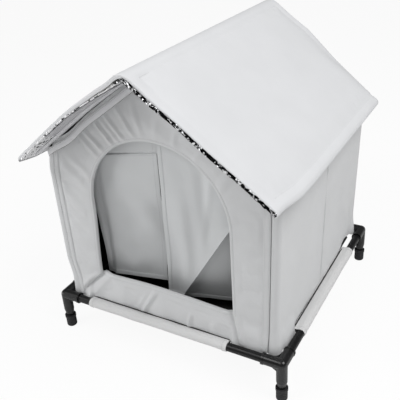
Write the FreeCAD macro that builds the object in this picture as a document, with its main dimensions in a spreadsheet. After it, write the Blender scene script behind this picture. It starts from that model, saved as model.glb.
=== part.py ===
"""Raised cat house: a stiffened cloth house with a gable roof on a square tube frame.

Millimetres. The origin is on the ground at the middle of the footprint, +Z is up, the doorway
faces -Y and +X is on the right of someone who looks at the doorway.
"""

import FreeCAD
import Part
import Sketcher
import os

from FreeCAD import Placement, Rotation, Vector

# Every driving size: name, value, what it measures.
SIZES = (
    ("frame_width", 480, "left to right between the axes of the side rails"),
    ("frame_depth", 480, "front to back between the axes of the front and back rails"),
    ("rail_height", 80, "rail axis above the ground"),
    ("tube_diameter", 16, "outside of a rail tube"),
    ("tube_wall", 1.2, "wall of a rail tube"),
    ("tube_play", 0.1, "radial play of a tube in its socket"),
    ("socket_wall", 2, "wall of a connector socket"),
    ("socket_reach", 37, "corner axis to the mouth of a socket"),
    ("socket_stop", 13, "corner axis to the end of the tube in the socket"),
    ("collar_width", 4, "bead round a socket mouth, along the socket"),
    ("collar_rise", 0.9, "bead round a socket mouth, above the socket"),
    ("web_reach", 31, "flat web in the inner corner, along each socket"),
    ("web_thickness", 5, "flat web in the inner corner"),
    ("gusset_reach", 12, "rib between a socket and the leg, beyond the leg"),
    ("gusset_drop", 8, "rib between a socket and the leg, below the socket"),
    ("gusset_thickness", 4, "rib between a socket and the leg"),
    ("taper_length", 12, "length of the leg's narrowing lower end"),
    ("taper_inset", 2.2, "how much the leg's radius narrows at its lower end"),
    ("neck_length", 3, "bare neck between the leg and the foot cap"),
    ("neck_diameter", 13, "neck and spigot below the leg"),
    ("foot_height", 27, "height of a foot cap"),
    ("foot_diameter", 21, "outside of a foot cap"),
    ("foot_floor", 6, "rubber below the spigot"),
    ("foot_play", 0.05, "radial play of the spigot in the foot cap"),
    ("foot_lip_height", 5, "lip round the top of a foot cap"),
    ("foot_lip_rise", 0.9, "lip round the top of a foot cap, above its side"),
    ("foot_rounding", 3, "rounding of a foot cap's lower edge"),
    ("foot_rib_pitch", 4.5, "spacing of the grooves round a foot cap"),
    ("foot_groove", 0.6, "depth and half height of a groove round a foot cap"),
    ("sleeve_play", 0.2, "radial play of a sleeve on its rail"),
    ("sleeve_thickness", 1.3, "cloth of a sleeve"),
    ("front_sleeve_length", 309, "sleeve of the front and the back rail"),
    ("front_sleeve_shift", 19, "front sleeve's middle, left of the house's middle"),
    ("side_sleeve_length", 296, "sleeve of a side rail"),
    ("side_sleeve_shift", 4, "right sleeve's middle, in front of the house's middle"),
    ("floor_rise", 6, "top of the floor sheet above the rail axis"),
    ("floor_thickness", 2, "floor sheet and the strips that join it to the sleeves"),
    ("floor_corner_cut", 34, "floor sheet's slanted corners, along each side"),
    ("wall_inset", 16, "rail axis to the outer face of a wall"),
    ("cover_thickness", 1, "outer cloth of a wall"),
    ("board_thickness", 4, "stiffening board of a wall"),
    ("lining_thickness", 1, "lining of a wall"),
    ("tape_thickness", 1, "binding and tape"),
    ("corner_wrap", 15, "side wall's cloth carried round a corner to its seam"),
    ("corner_rounding", 2.5, "side wall's cloth at a corner"),
    ("corner_tape_width", 12, "binding of the front and the back wall's cloth beside the seam"),
    ("gable_tape_width", 22, "loop tape along a gable slope"),
    ("door_width", 282, "clear width of the doorway"),
    ("arch_drop", 124, "top of the doorway's arch below the ridge axis"),
    ("sill_height", 71, "sill above the floor sheet"),
    ("facing_width", 13, "doorway facing on the inside of the wall"),
    ("header_margin", 5, "header tape beyond the rolled hems at each end"),
    ("header_height", 22, "header tape that the flaps hang from"),
    ("header_clear", 11, "level room between a flap's upper corner and the roof above the header"),
    ("header_rise", 0.5, "header tape above the doorway facing"),
    ("hinge_play", 0.3, "rolled hem to the header tape"),
    ("hem_diameter", 5, "rolled hem at the top of a flap"),
    ("flap_thickness", 1.6, "cloth of a flap"),
    ("right_flap_lap", 9, "right flap's outer edge beyond the side of the doorway"),
    ("left_flap_lap", 19, "left flap's outer edge beyond the side of the doorway"),
    ("shoulder_cut", 5, "least narrowing of a flap at its top"),
    ("flap_gap", 1, "between the two flaps"),
    ("meeting_top", 7.5, "line where the flaps meet, right of the middle at the hinge"),
    ("meeting_foot", 22.5, "line where the flaps meet, left of the middle at the lower edges"),
    ("flap_floor_gap", 30, "flap's lower edge above the floor sheet"),
    ("left_outer_set", 34, "left flap's lower edge behind its hinge, beside the outer margin"),
    ("left_middle_set", 48.5, "left flap's lower edge behind its hinge, half way"),
    ("left_inner_set", 67, "left flap's lower edge behind its hinge, at the inner end"),
    ("left_margin", 20, "left flap's outer margin, which turns towards the wall"),
    ("left_margin_set", 9, "left flap's outer margin in front of the rest, at its lower end"),
    ("right_set", 38.5, "right flap's lower edge behind its hinge"),
    ("right_corner_set", 28, "right flap's folded corner behind the rest of its edge"),
    ("fold_start_drop", 142, "hinge to the start of the fold at the right flap's outer edge"),
    ("fold_foot", 10, "foot of the fold from the middle of the doorway"),
    ("ridge_height", 576, "ridge axis above the ground"),
    ("roof_pitch", 35, "roof slope in degrees"),
    ("eave_overhang", 35, "eave beyond the side wall, measured level"),
    ("gable_overhang", 54.5, "roof beyond the front and the back wall"),
    ("front_corner_draw", 11, "eave drawn in at a front corner, along the slope"),
    ("front_corner_length", 126, "length of the eave that is drawn in at a front corner"),
    ("eave_rounding", 18, "rounded back corners at the eaves"),
    ("back_droop", 28, "droop of the right panel's back corner, square to the slope"),
    ("droop_start", 100, "ridge axis to the start of the droop, along the slope"),
    ("droop_clear", 2, "back wall to the start of the droop"),
    ("roof_cover_thickness", 1.2, "cloth of a roof panel"),
    ("roof_board_thickness", 5, "board of a roof panel"),
    ("roof_foil_thickness", 0.8, "foil lining of a roof panel"),
    ("roof_seat_gap", 0.3, "roof panel above the wall tops"),
    ("ridge_fold_rise", 0.4, "how far the ridge fold reaches past the line of the wall tops"),
    ("ridge_fold_wall", 1.2, "cloth of the ridge fold"),
    ("ridge_play", 0.7, "roof panel to the ridge fold"),
    ("hook_tape_width", 22, "hook tape below a roof panel"),
    ("hook_tape_inset", 4, "hook tape in front of the wall"),
    ("hook_tape_margin", 20, "hook tape short of the ridge and of the eave"),
    ("hook_tape_play", 0.3, "hook tape below the foil lining"),
)

document = FreeCAD.newDocument("raised_cat_house")
sheet = document.addObject("Spreadsheet::Sheet", "Sizes")
for row, (alias, number, note) in enumerate(SIZES, start=1):
    sheet.set("A%d" % row, alias)
    sheet.set("B%d" % row, str(number))
    sheet.setAlias("B%d" % row, alias)
    sheet.set("C%d" % row, note)
document.recompute()

# Sizes that follow from the sheet, as expressions.
SOCKET_RADIUS = "(Sizes.tube_diameter / 2 + Sizes.tube_play + Sizes.socket_wall)"
BORE_RADIUS = "(Sizes.tube_diameter / 2 + Sizes.tube_play)"
LEG_END = "(Sizes.rail_height - Sizes.foot_height - Sizes.neck_length)"
SPIGOT_END = "(Sizes.rail_height - Sizes.foot_floor)"
FLOOR_TOP = "(Sizes.rail_height + Sizes.floor_rise)"
FLOOR_UNDER = "(Sizes.rail_height + Sizes.floor_rise - Sizes.floor_thickness)"
HOUSE_X = "(Sizes.frame_width / 2 - Sizes.wall_inset)"
HOUSE_Y = "(Sizes.frame_depth / 2 - Sizes.wall_inset)"
WALL = "(Sizes.cover_thickness + Sizes.board_thickness + Sizes.lining_thickness)"
ROOF = "(Sizes.roof_cover_thickness + Sizes.roof_board_thickness + Sizes.roof_foil_thickness)"
ROOF_Y = "(Sizes.frame_depth / 2 - Sizes.wall_inset + Sizes.gable_overhang)"
ROOF_SEAT = "((%s / 2 + Sizes.roof_seat_gap) / cos(Sizes.roof_pitch))" % ROOF
FOLD_RADIUS = "(%s + Sizes.ridge_fold_rise)" % ROOF_SEAT
ROOF_START = "(%s + Sizes.ridge_play)" % FOLD_RADIUS
ROOF_END = "((%s + Sizes.eave_overhang) / cos(Sizes.roof_pitch))" % HOUSE_X
APEX = "(Sizes.ridge_height - %s)" % FOLD_RADIUS
SILL = "(%s + Sizes.sill_height)" % FLOOR_TOP
ARCH_TOP = "(Sizes.ridge_height - Sizes.arch_drop)"
ARCH_CENTRE = "(%s - Sizes.door_width / 2)" % ARCH_TOP
HEADER_FOOT = "(%s + Sizes.facing_width + Sizes.header_rise)" % ARCH_TOP
HEADER_TOP = "(%s + Sizes.header_height)" % HEADER_FOOT
HINGE_Z = "(%s + Sizes.hem_diameter / 2)" % HEADER_FOOT
HINGE_Y = "(-%s + %s + Sizes.tape_thickness + Sizes.hinge_play + Sizes.hem_diameter / 2)" % (
    HOUSE_Y, WALL)
RIGHT_WIDTH = "(Sizes.door_width / 2 + Sizes.right_flap_lap)"
LEFT_WIDTH = "(Sizes.door_width / 2 + Sizes.left_flap_lap)"
HEADER_ROOM = "((Sizes.ridge_height - %s - %s) / tan(Sizes.roof_pitch) - Sizes.header_clear)" % (
    ROOF_SEAT, HEADER_TOP)
FLAP_TOP_WIDTH = "min(%s; min(%s; %s) - Sizes.shoulder_cut)" % (HEADER_ROOM, RIGHT_WIDTH, LEFT_WIDTH)
RIGHT_SHOULDER = "((%s - %s) * tan(Sizes.roof_pitch))" % (RIGHT_WIDTH, FLAP_TOP_WIDTH)
LEFT_SHOULDER = "((%s - %s) * tan(Sizes.roof_pitch))" % (LEFT_WIDTH, FLAP_TOP_WIDTH)
FLAP_LENGTH = "(%s - %s - Sizes.flap_floor_gap)" % (HINGE_Z, FLOOR_TOP)

SUB_PARTS = []


def value(expression):
    """Number that an expression of the sheet's sizes gives."""
    return float(sheet.evalExpression(expression))


def under_roof(x):
    """Expression for the height of the wall tops at a level distance x from the ridge."""
    return "(Sizes.ridge_height - (%s) * tan(Sizes.roof_pitch) - %s)" % (x, ROOF_SEAT)


def times(sign, expression):
    """Expression with a sign in front."""
    return expression if sign > 0 else "-(%s)" % expression


def new_body(label):
    """Body of one sub-part, listed for writing."""
    body = document.addObject("PartDesign::Body", label)
    body.Label = label
    SUB_PARTS.append(body)
    return body


def new_sketch(body, role, offset="0"):
    """Sketch on one of the body's own origin planes, moved along the plane's normal."""
    sketch = body.newObject("Sketcher::SketchObject", "%s_sketch" % body.Name)
    plane = [item for item in body.Origin.OriginFeatures if item.Role == role][0]
    sketch.AttachmentSupport = [(plane, "")]
    sketch.MapMode = "FlatFace"
    sketch.setExpression("AttachmentOffset.Base.z", offset)
    return sketch


def fix_point(sketch, element, point, x, y):
    """Hold one point of a sketch element at two expressions; None leaves a direction free."""
    for direction, expression in (("DistanceX", x), ("DistanceY", y)):
        if expression is None:
            continue
        number = value(expression)
        index = sketch.addConstraint(Sketcher.Constraint(direction, element, point, number))
        sketch.setExpression("Constraints[%d]" % index, expression)


def draw_outline(sketch, points, arcs=()):
    """Closed outline through points given as expressions.

    arcs pairs the number of a side with the expressions of its centre, the direction in which the
    centre is held, and True where the side turns anticlockwise.
    """
    bends = dict(arcs)
    places = [Vector(value(x), value(y), 0) for x, y in points]
    first = sketch.GeometryCount
    count = len(points)
    for side in range(count):
        begin = places[side]
        end = places[(side + 1) % count]
        if side not in bends:
            sketch.addGeometry(Part.LineSegment(begin, end), False)
            continue
        (middle_x, middle_y), held, anticlockwise = bends[side]
        centre = Vector(value(middle_x), value(middle_y), 0)
        circle = Part.Circle(centre, Vector(0, 0, 1), (begin - centre).Length)
        low, high = (begin, end) if anticlockwise else (end, begin)
        sketch.addGeometry(
            Part.ArcOfCircle(circle, circle.parameter(low), circle.parameter(high)), False
        )

    def start_of(side):
        return 2 if side in bends and not bends[side][2] else 1

    def end_of(side):
        return 1 if side in bends and not bends[side][2] else 2

    for side in range(count):
        following = (side + 1) % count
        sketch.addConstraint(
            Sketcher.Constraint(
                "Coincident", first + side, end_of(side), first + following, start_of(following)
            )
        )
    for side, (x, y) in enumerate(points):
        fix_point(sketch, first + side, start_of(side), x, y)
    for side, ((middle_x, middle_y), held, anticlockwise) in bends.items():
        if held == "x":
            fix_point(sketch, first + side, 3, middle_x, None)
        else:
            fix_point(sketch, first + side, 3, None, middle_y)


def draw_circle(sketch, x, y, radius):
    """Circle whose centre and radius are expressions."""
    centre = Vector(value(x), value(y), 0)
    element = sketch.addGeometry(Part.Circle(centre, Vector(0, 0, 1), value(radius)), False)
    fix_point(sketch, element, 3, x, y)
    index = sketch.addConstraint(Sketcher.Constraint("Radius", element, value(radius)))
    sketch.setExpression("Constraints[%d]" % index, radius)


def add_pad(body, sketch, length, reverse=False, midplane=False):
    """Pad of a sketch by a length expression."""
    pad = body.newObject("PartDesign::Pad", "%s_pad" % body.Name)
    pad.Profile = sketch
    pad.setExpression("Length", length)
    pad.Reversed = reverse
    pad.Midplane = midplane
    return pad


def add_pocket(body, sketch, length, reverse=False):
    """Pocket of a sketch by a length expression; it has to take material away."""
    document.recompute()
    before = body.Shape.Volume
    pocket = body.newObject("PartDesign::Pocket", "%s_pocket" % body.Name)
    pocket.Profile = sketch
    pocket.setExpression("Length", length)
    pocket.Reversed = reverse
    document.recompute()
    if not body.Shape.Volume < before - 1e-6:
        raise RuntimeError("%s: a pocket cuts nothing" % body.Label)
    return pocket


def add_revolution(body, sketch):
    """Full turn of a half section about the sketch's vertical axis."""
    turn = body.newObject("PartDesign::Revolution", "%s_turn" % body.Name)
    turn.Profile = sketch
    turn.ReferenceAxis = (sketch, ["V_Axis"])
    turn.Angle = 360
    return turn


def add_fillet(body, radius, wanted):
    """Round the edges of the body's last feature whose middle point and edge pass a test."""
    document.recompute()
    base = body.Tip
    names = []
    for number, edge in enumerate(base.Shape.Edges, start=1):
        if wanted(edge):
            names.append("Edge%d" % number)
    fillet = body.newObject("PartDesign::Fillet", "%s_fillet" % body.Name)
    fillet.Base = (base, names)
    fillet.setExpression("Radius", radius)
    return fillet


def rectangle(low_x, high_x, low_y, high_y):
    """Corner points of a rectangle, as expressions, anticlockwise."""
    return [(low_x, low_y), (high_x, low_y), (high_x, high_y), (low_x, high_y)]


def make_connector(label, side_x, side_y, turn):
    """Moulded corner: two sockets, inner web, two ribs, tapering leg and a spigot below it.

    It is drawn with its sockets along +X and +Y and turned to its corner.
    """
    body = new_body(label)

    leg = new_sketch(body, "XZ_Plane")
    taper_top = "-(%s - Sizes.taper_length)" % LEG_END
    tip_radius = "(%s - Sizes.taper_inset)" % SOCKET_RADIUS
    neck_radius = "Sizes.neck_diameter / 2"
    draw_outline(
        leg,
        [
            ("0", SOCKET_RADIUS),
            ("0", "-%s" % SPIGOT_END),
            (neck_radius, "-%s" % SPIGOT_END),
            (neck_radius, "-%s" % LEG_END),
            (tip_radius, "-%s" % LEG_END),
            (SOCKET_RADIUS, taper_top),
            (SOCKET_RADIUS, "0"),
        ],
        [(6, (("0", "0"), "x", True))],
    )
    add_revolution(body, leg)

    for role, reverse in (("YZ_Plane", False), ("XZ_Plane", True)):
        sign = -1 if reverse else 1
        socket = new_sketch(body, role)
        draw_circle(socket, "0", "0", SOCKET_RADIUS)
        add_pad(body, socket, "Sizes.socket_reach", reverse)
        collar = new_sketch(body, role, times(sign, "(Sizes.socket_reach - Sizes.collar_width)"))
        draw_circle(collar, "0", "0", "%s + Sizes.collar_rise" % SOCKET_RADIUS)
        add_pad(body, collar, "Sizes.collar_width", reverse)

    web = new_sketch(body, "XY_Plane")
    draw_outline(
        web,
        [("0", "0"), ("Sizes.web_reach", "0"), ("Sizes.web_reach", SOCKET_RADIUS),
         (SOCKET_RADIUS, "Sizes.web_reach"), ("0", "Sizes.web_reach")],
        [(2, (("Sizes.web_reach", "Sizes.web_reach"), "x", False))],
    )
    add_pad(body, web, "Sizes.web_thickness", midplane=True)

    rib_foot = "-(%s + Sizes.gusset_drop)" % SOCKET_RADIUS
    rib_end = "(%s + Sizes.gusset_reach)" % SOCKET_RADIUS
    for role in ("XZ_Plane", "YZ_Plane"):
        rib = new_sketch(body, role)
        draw_outline(rib, [("0", "0"), ("0", rib_foot), (SOCKET_RADIUS, rib_foot),
                           (rib_end, "-%s" % SOCKET_RADIUS), (rib_end, "0")])
        add_pad(body, rib, "Sizes.gusset_thickness", midplane=True)

    depth = "(Sizes.socket_reach - Sizes.socket_stop)"
    for role, reverse in (("YZ_Plane", False), ("XZ_Plane", True)):
        sign = -1 if reverse else 1
        bore = new_sketch(body, role, times(sign, "Sizes.socket_reach"))
        draw_circle(bore, "0", "0", BORE_RADIUS)
        add_pocket(body, bore, depth, reverse)

    body.Placement = Placement(Vector(0, 0, 0), Rotation(Vector(0, 0, 1), turn))
    body.setExpression("Placement.Base.x", times(side_x, "Sizes.frame_width / 2"))
    body.setExpression("Placement.Base.y", times(side_y, "Sizes.frame_depth / 2"))
    body.setExpression("Placement.Base.z", "Sizes.rail_height")


def make_foot_cap(label, side_x, side_y):
    """Rubber cap on a leg's spigot: rounded foot, two grooves and a lip at the top."""
    body = new_body(label)
    half = new_sketch(body, "XZ_Plane")
    radius = "Sizes.foot_diameter / 2"
    bore = "(Sizes.neck_diameter / 2 + Sizes.foot_play)"
    lip_under = "(Sizes.foot_height - Sizes.foot_lip_height)"
    points = [("0", "0"), ("(%s - Sizes.foot_rounding)" % radius, "0")]
    points.append((radius, "Sizes.foot_rounding"))
    for groove in (2, 1):
        middle = "(%s - %d * Sizes.foot_rib_pitch)" % (lip_under, groove)
        points.append((radius, "%s - Sizes.foot_groove" % middle))
        points.append(("(%s - Sizes.foot_groove)" % radius, middle))
        points.append((radius, "%s + Sizes.foot_groove" % middle))
    lip = "(%s + Sizes.foot_lip_rise)" % radius
    points += [(radius, lip_under), (lip, lip_under), (lip, "Sizes.foot_height"),
               (bore, "Sizes.foot_height"), (bore, "Sizes.foot_floor"), ("0", "Sizes.foot_floor")]
    centre = ("(%s - Sizes.foot_rounding)" % radius, "Sizes.foot_rounding")
    draw_outline(half, points, [(1, (centre, "x", True))])
    add_revolution(body, half)
    body.setExpression("Placement.Base.x", times(side_x, "Sizes.frame_width / 2"))
    body.setExpression("Placement.Base.y", times(side_y, "Sizes.frame_depth / 2"))


def make_rail(label, along_x, side):
    """Rail tube between two sockets."""
    body = new_body(label)
    ring = new_sketch(body, "YZ_Plane" if along_x else "XZ_Plane")
    draw_circle(ring, "0", "0", "Sizes.tube_diameter / 2")
    draw_circle(ring, "0", "0", "Sizes.tube_diameter / 2 - Sizes.tube_wall")
    span = "Sizes.frame_width" if along_x else "Sizes.frame_depth"
    add_pad(body, ring, "%s - 2 * Sizes.socket_stop" % span, midplane=True)
    across = "Sizes.frame_depth / 2" if along_x else "Sizes.frame_width / 2"
    body.setExpression("Placement.Base.y" if along_x else "Placement.Base.x", times(side, across))
    body.setExpression("Placement.Base.z", "Sizes.rail_height")


def make_sleeve(label, along_x, side, length, shift):
    """Cloth sleeve round a rail with the strip that joins it to the floor sheet."""
    body = new_body(label)
    role = "YZ_Plane" if along_x else "XZ_Plane"
    inner = "(Sizes.tube_diameter / 2 + Sizes.sleeve_play)"
    outer = "(%s + Sizes.sleeve_thickness)" % inner
    tube = new_sketch(body, role)
    draw_circle(tube, "0", "0", outer)
    add_pad(body, tube, length, midplane=True)
    strip = new_sketch(body, role)
    edge = times(-side, "Sizes.wall_inset")
    low, high = (edge, "0") if side > 0 else ("0", edge)
    low_z = "(Sizes.floor_rise - Sizes.floor_thickness)"
    draw_outline(strip, rectangle(low, high, low_z, "Sizes.floor_rise"))
    add_pad(body, strip, length, midplane=True)
    bore = new_sketch(body, role, "%s / 2 + 1" % length)
    draw_circle(bore, "0", "0", inner)
    add_pocket(body, bore, "%s + 2" % length)
    across = "Sizes.frame_depth / 2" if along_x else "Sizes.frame_width / 2"
    body.setExpression("Placement.Base.y" if along_x else "Placement.Base.x", times(side, across))
    body.setExpression("Placement.Base.x" if along_x else "Placement.Base.y", shift)
    body.setExpression("Placement.Base.z", "Sizes.rail_height")


def doorway_outline(sketch, grow):
    """Arched doorway outline, larger than the opening by an expression."""
    half = "(Sizes.door_width / 2 + %s)" % grow
    points = [
        ("-%s" % half, "%s - (%s)" % (SILL, grow)),
        (half, "%s - (%s)" % (SILL, grow)),
        (half, ARCH_CENTRE),
        ("-%s" % half, ARCH_CENTRE),
    ]
    draw_outline(sketch, points, [(2, (("0", ARCH_CENTRE), "y", True))])


def gable_outline(sketch, half):
    """Outline of a gable wall of some half width, from the floor sheet up to the roof."""
    apex_half = "((%s - %s) / tan(Sizes.roof_pitch))" % (under_roof("0"), APEX)
    shoulder = under_roof(half)
    draw_outline(sketch, [
        ("-%s" % half, FLOOR_TOP),
        (half, FLOOR_TOP),
        (half, shoulder),
        (apex_half, APEX),
        ("-%s" % apex_half, APEX),
        ("-%s" % half, shoulder),
    ])


WALL_CORE = "(%s - Sizes.cover_thickness)" % HOUSE_X
SEAM_X = "(%s - Sizes.corner_wrap)" % HOUSE_X
LAYERS = (
    ("lining", WALL_CORE, "0", "Sizes.lining_thickness"),
    ("board", WALL_CORE, "Sizes.lining_thickness", "Sizes.board_thickness"),
    ("cover", SEAM_X, "(Sizes.lining_thickness + Sizes.board_thickness)", "Sizes.cover_thickness"),
)


def make_gable_wall(name, front):
    """The three layers of the front or the back wall; the front wall has the doorway."""
    for layer, half, depth, thickness in LAYERS:
        body = new_body("%s_wall_%s" % (name, layer))
        inside = "(%s - %s + %s)" % (HOUSE_Y, WALL, depth)
        panel = new_sketch(body, "XZ_Plane", times(1 if front else -1, inside))
        gable_outline(panel, half)
        if front:
            doorway_outline(panel, "0")
        add_pad(body, panel, thickness, reverse=not front)


def make_side_wall(name, side):
    """Lining and board of a side wall, and its cloth, carried round both corners to the seams."""
    reach = "(%s - %s)" % (HOUSE_Y, WALL)
    for layer, half, depth, thickness in LAYERS[:2]:
        body = new_body("%s_wall_%s" % (name, layer))
        inside = "(%s - %s + %s)" % (HOUSE_X, WALL, depth)
        panel = new_sketch(body, "YZ_Plane", times(side, inside))
        draw_outline(panel, rectangle("-%s" % reach, reach, FLOOR_TOP, under_roof(HOUSE_X)))
        add_pad(body, panel, thickness, reverse=side < 0)

    body = new_body("%s_wall_cover" % name)
    wrap = new_sketch(body, "XY_Plane", FLOOR_TOP)
    core_y = "(%s - Sizes.cover_thickness)" % HOUSE_Y
    outline = [
        (SEAM_X, "-%s" % HOUSE_Y),
        (HOUSE_X, "-%s" % HOUSE_Y),
        (HOUSE_X, HOUSE_Y),
        (SEAM_X, HOUSE_Y),
        (SEAM_X, core_y),
        (WALL_CORE, core_y),
        (WALL_CORE, "-%s" % core_y),
        (SEAM_X, "-%s" % core_y),
    ]
    draw_outline(wrap, [(times(side, x), y) for x, y in outline])
    add_pad(body, wrap, "%s - %s" % (under_roof(HOUSE_X), FLOOR_TOP))
    corner = value(HOUSE_X), value(HOUSE_Y)

    def outer_corner(edge):
        middle = edge.CenterOfMass
        off = max(abs(abs(middle.x) - corner[0]), abs(abs(middle.y) - corner[1]))
        return off < 1e-4 and edge.BoundBox.ZLength > 1

    add_fillet(body, "Sizes.corner_rounding", outer_corner)


def make_corner_binding(label, side_x, side_y):
    """Tape down the edge of the front or the back wall's cloth, beside the corner seam."""
    body = new_body(label)
    strip = new_sketch(body, "XZ_Plane", times(-side_y, HOUSE_Y))
    top = "%s - Sizes.gable_tape_width / cos(Sizes.roof_pitch)" % under_roof(SEAM_X)
    inner = "(%s - Sizes.corner_tape_width)" % SEAM_X
    low, high = (inner, SEAM_X) if side_x > 0 else ("-%s" % SEAM_X, "-%s" % inner)
    draw_outline(strip, rectangle(low, high, FLOOR_TOP, top))
    add_pad(body, strip, "Sizes.tape_thickness", reverse=side_y > 0)


def make_gable_tape(label, side_x, front):
    """Loop tape sewn on the wall along one slope of a gable."""
    body = new_body(label)
    face = new_sketch(body, "XZ_Plane", times(1 if front else -1, HOUSE_Y))
    drop = "Sizes.gable_tape_width / cos(Sizes.roof_pitch)"
    apex_half = "((%s - %s) / tan(Sizes.roof_pitch))" % (under_roof("0"), APEX)
    outline = [
        ("0", "%s - %s" % (under_roof("0"), drop)),
        (times(side_x, HOUSE_X), "%s - %s" % (under_roof(HOUSE_X), drop)),
        (times(side_x, HOUSE_X), under_roof(HOUSE_X)),
        (times(side_x, apex_half), APEX),
        ("0", APEX),
    ]
    draw_outline(face, outline)
    add_pad(body, face, "Sizes.tape_thickness", reverse=not front)


def make_doorway_facing(label):
    """Cloth turned in round the edge of the doorway and sewn down on the inside of the wall."""
    body = new_body(label)
    tape = "Sizes.tape_thickness"
    strips = (
        ("%s - %s" % (HOUSE_Y, WALL), "0", WALL),
        ("%s - %s - %s" % (HOUSE_Y, WALL, tape), "Sizes.facing_width", tape),
    )
    for start, reach, depth in strips:
        ring = new_sketch(body, "XZ_Plane", start)
        doorway_outline(ring, reach)
        doorway_outline(ring, "-%s" % tape)
        add_pad(body, ring, depth)


def roof_section(body, side, station, low, high):
    """Section across one layer of a roof panel, drawn level, at one place along the ridge.

    station gives the place, the near and far distances from the ridge axis and the droop of the far
    end; low and high bound the layer.
    """
    along, near, far, droop = station
    knee = "Sizes.droop_start"
    fall = "(%s) * (%s - %s) / (%s - %s)" % (droop, far, knee, ROOF_END, knee)
    sketch = new_sketch(body, "XZ_Plane", "-(%s)" % along)
    points = [
        (near, low),
        (knee, low),
        (far, "%s - %s" % (low, fall)),
        (far, "%s - %s" % (high, fall)),
        (knee, high),
        (near, high),
    ]
    draw_outline(sketch, [(times(side, x), z) for x, z in points])
    return sketch


def make_roof_piece(label, side, stations, low, thickness):
    """Layer of a roof panel lofted along the ridge and then sloped about the ridge axis."""
    body = new_body(label)
    high = "%s + %s" % (low, thickness)
    sections = [roof_section(body, side, station, low, high) for station in stations]
    loft = body.newObject("PartDesign::AdditiveLoft", "%s_loft" % body.Name)
    loft.Profile = sections[0]
    loft.Sections = sections[1:]
    loft.Ruled = True
    body.Placement = Placement(Vector(0, 0, 0), Rotation(Vector(0, 1, 0), 1))
    body.setExpression("Placement.Rotation.Angle", times(side, "Sizes.roof_pitch"))
    body.setExpression("Placement.Base.z", "Sizes.ridge_height")


# Shares of the front corner's length and of its draw, and of the back corner's rounding.
FRONT_CORNER = ((0, 1), (0.2, 0.87), (0.6, 0.12), (1, 0))
BACK_CORNER = ((1, 0), (0.293, 0.293), (0, 1))


def make_roof(name, side, droop):
    """Cover, board, foil and the two hook tapes of one roof panel; droop is its back corner's."""
    start = "(%s + Sizes.droop_clear)" % HOUSE_Y

    def droop_at(along):
        return "(%s) * ((%s) - %s) / (%s - %s)" % (droop, along, start, ROOF_Y, start)

    whole = []
    for length, draw in FRONT_CORNER:
        along = "%s * Sizes.front_corner_length - %s" % (length, ROOF_Y)
        far = "(%s - %s * Sizes.front_corner_draw)" % (ROOF_END, draw)
        whole.append((along, ROOF_START, far, "0"))
    whole.append((start, ROOF_START, ROOF_END, "0"))
    for length, cut in BACK_CORNER:
        along = "%s - %s * Sizes.eave_rounding" % (ROOF_Y, length)
        far = "(%s - %s * Sizes.eave_rounding)" % (ROOF_END, cut)
        whole.append((along, ROOF_START, far, droop_at(along)))
    foil_under = "-%s / 2" % ROOF
    board_under = "-%s / 2 + Sizes.roof_foil_thickness" % ROOF
    cover_under = "%s / 2 - Sizes.roof_cover_thickness" % ROOF
    make_roof_piece("roof_foil_%s" % name, side, whole, foil_under, "Sizes.roof_foil_thickness")
    make_roof_piece("roof_board_%s" % name, side, whole, board_under, "Sizes.roof_board_thickness")
    make_roof_piece("roof_cover_%s" % name, side, whole, cover_under, "Sizes.roof_cover_thickness")
    near = "%s + Sizes.hook_tape_margin" % ROOF_START
    far = "(%s - Sizes.hook_tape_margin)" % ROOF_END
    close = "(%s + Sizes.hook_tape_inset)" % HOUSE_Y
    away = "(%s + Sizes.hook_tape_width)" % close
    tape_under = "-%s / 2 - Sizes.hook_tape_play - Sizes.tape_thickness" % ROOF
    front = [("-%s" % away, near, far, "0"), ("-%s" % close, near, far, "0")]
    back = [(close, near, far, droop_at(close)), (away, near, far, droop_at(away))]
    make_roof_piece("hook_tape_front_%s" % name, side, front, tape_under, "Sizes.tape_thickness")
    make_roof_piece("hook_tape_back_%s" % name, side, back, tape_under, "Sizes.tape_thickness")


def make_ridge_fold(label):
    """Cloth tube along the ridge that joins the two panels and lies on the gable tops."""
    body = new_body(label)
    ring = new_sketch(body, "XZ_Plane")
    draw_circle(ring, "0", "0", FOLD_RADIUS)
    draw_circle(ring, "0", "0", "%s - Sizes.ridge_fold_wall" % FOLD_RADIUS)
    add_pad(body, ring, "2 * %s" % ROOF_Y, midplane=True)
    body.setExpression("Placement.Base.z", "Sizes.ridge_height")


def cloth_sides(drop, line):
    """Front and rear points of a cloth at one height, from (x, set back) points along it."""
    half = value("Sizes.flap_thickness / 2")
    front = [Vector(x, back - half, -drop) for x, back in line]
    rear = [Vector(x, back + half, -drop) for x, back in line]
    return front, rear


def folded_section(drop, line):
    """Section of a cloth with a straight run on each side of a fold."""
    front, rear = cloth_sides(drop, line)
    loop = front + rear[::-1]
    return Part.makePolygon(loop + [loop[0]])


def bowed_section(drop, line):
    """Section of a cloth with a straight outer margin and a bow through the last three points."""
    front, rear = cloth_sides(drop, line)
    edges = [
        Part.LineSegment(front[0], front[1]).toShape(),
        Part.Arc(*front[1:]).toShape(),
        Part.LineSegment(front[3], rear[3]).toShape(),
        Part.Arc(*rear[:0:-1]).toShape(),
        Part.LineSegment(rear[1], rear[0]).toShape(),
        Part.LineSegment(rear[0], front[0]).toShape(),
    ]
    return Part.Wire(edges)


def make_flap(label, sections, low_x, high_x):
    """Door flap: cloth lofted through its sections below a rolled hem on the hinge axis."""
    hem = Part.makeCylinder(
        value("Sizes.hem_diameter / 2"), high_x - low_x, Vector(low_x, 0, 0), Vector(1, 0, 0)
    )
    cloth = Part.makeLoft(sections, True, True)
    flap = document.addObject("Part::Feature", label)
    flap.Label = label
    flap.Shape = cloth.fuse(hem).removeSplitter()
    flap.Placement = Placement(Vector(0, value(HINGE_Y), value(HINGE_Z)), Rotation())
    SUB_PARTS.append(flap)


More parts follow.
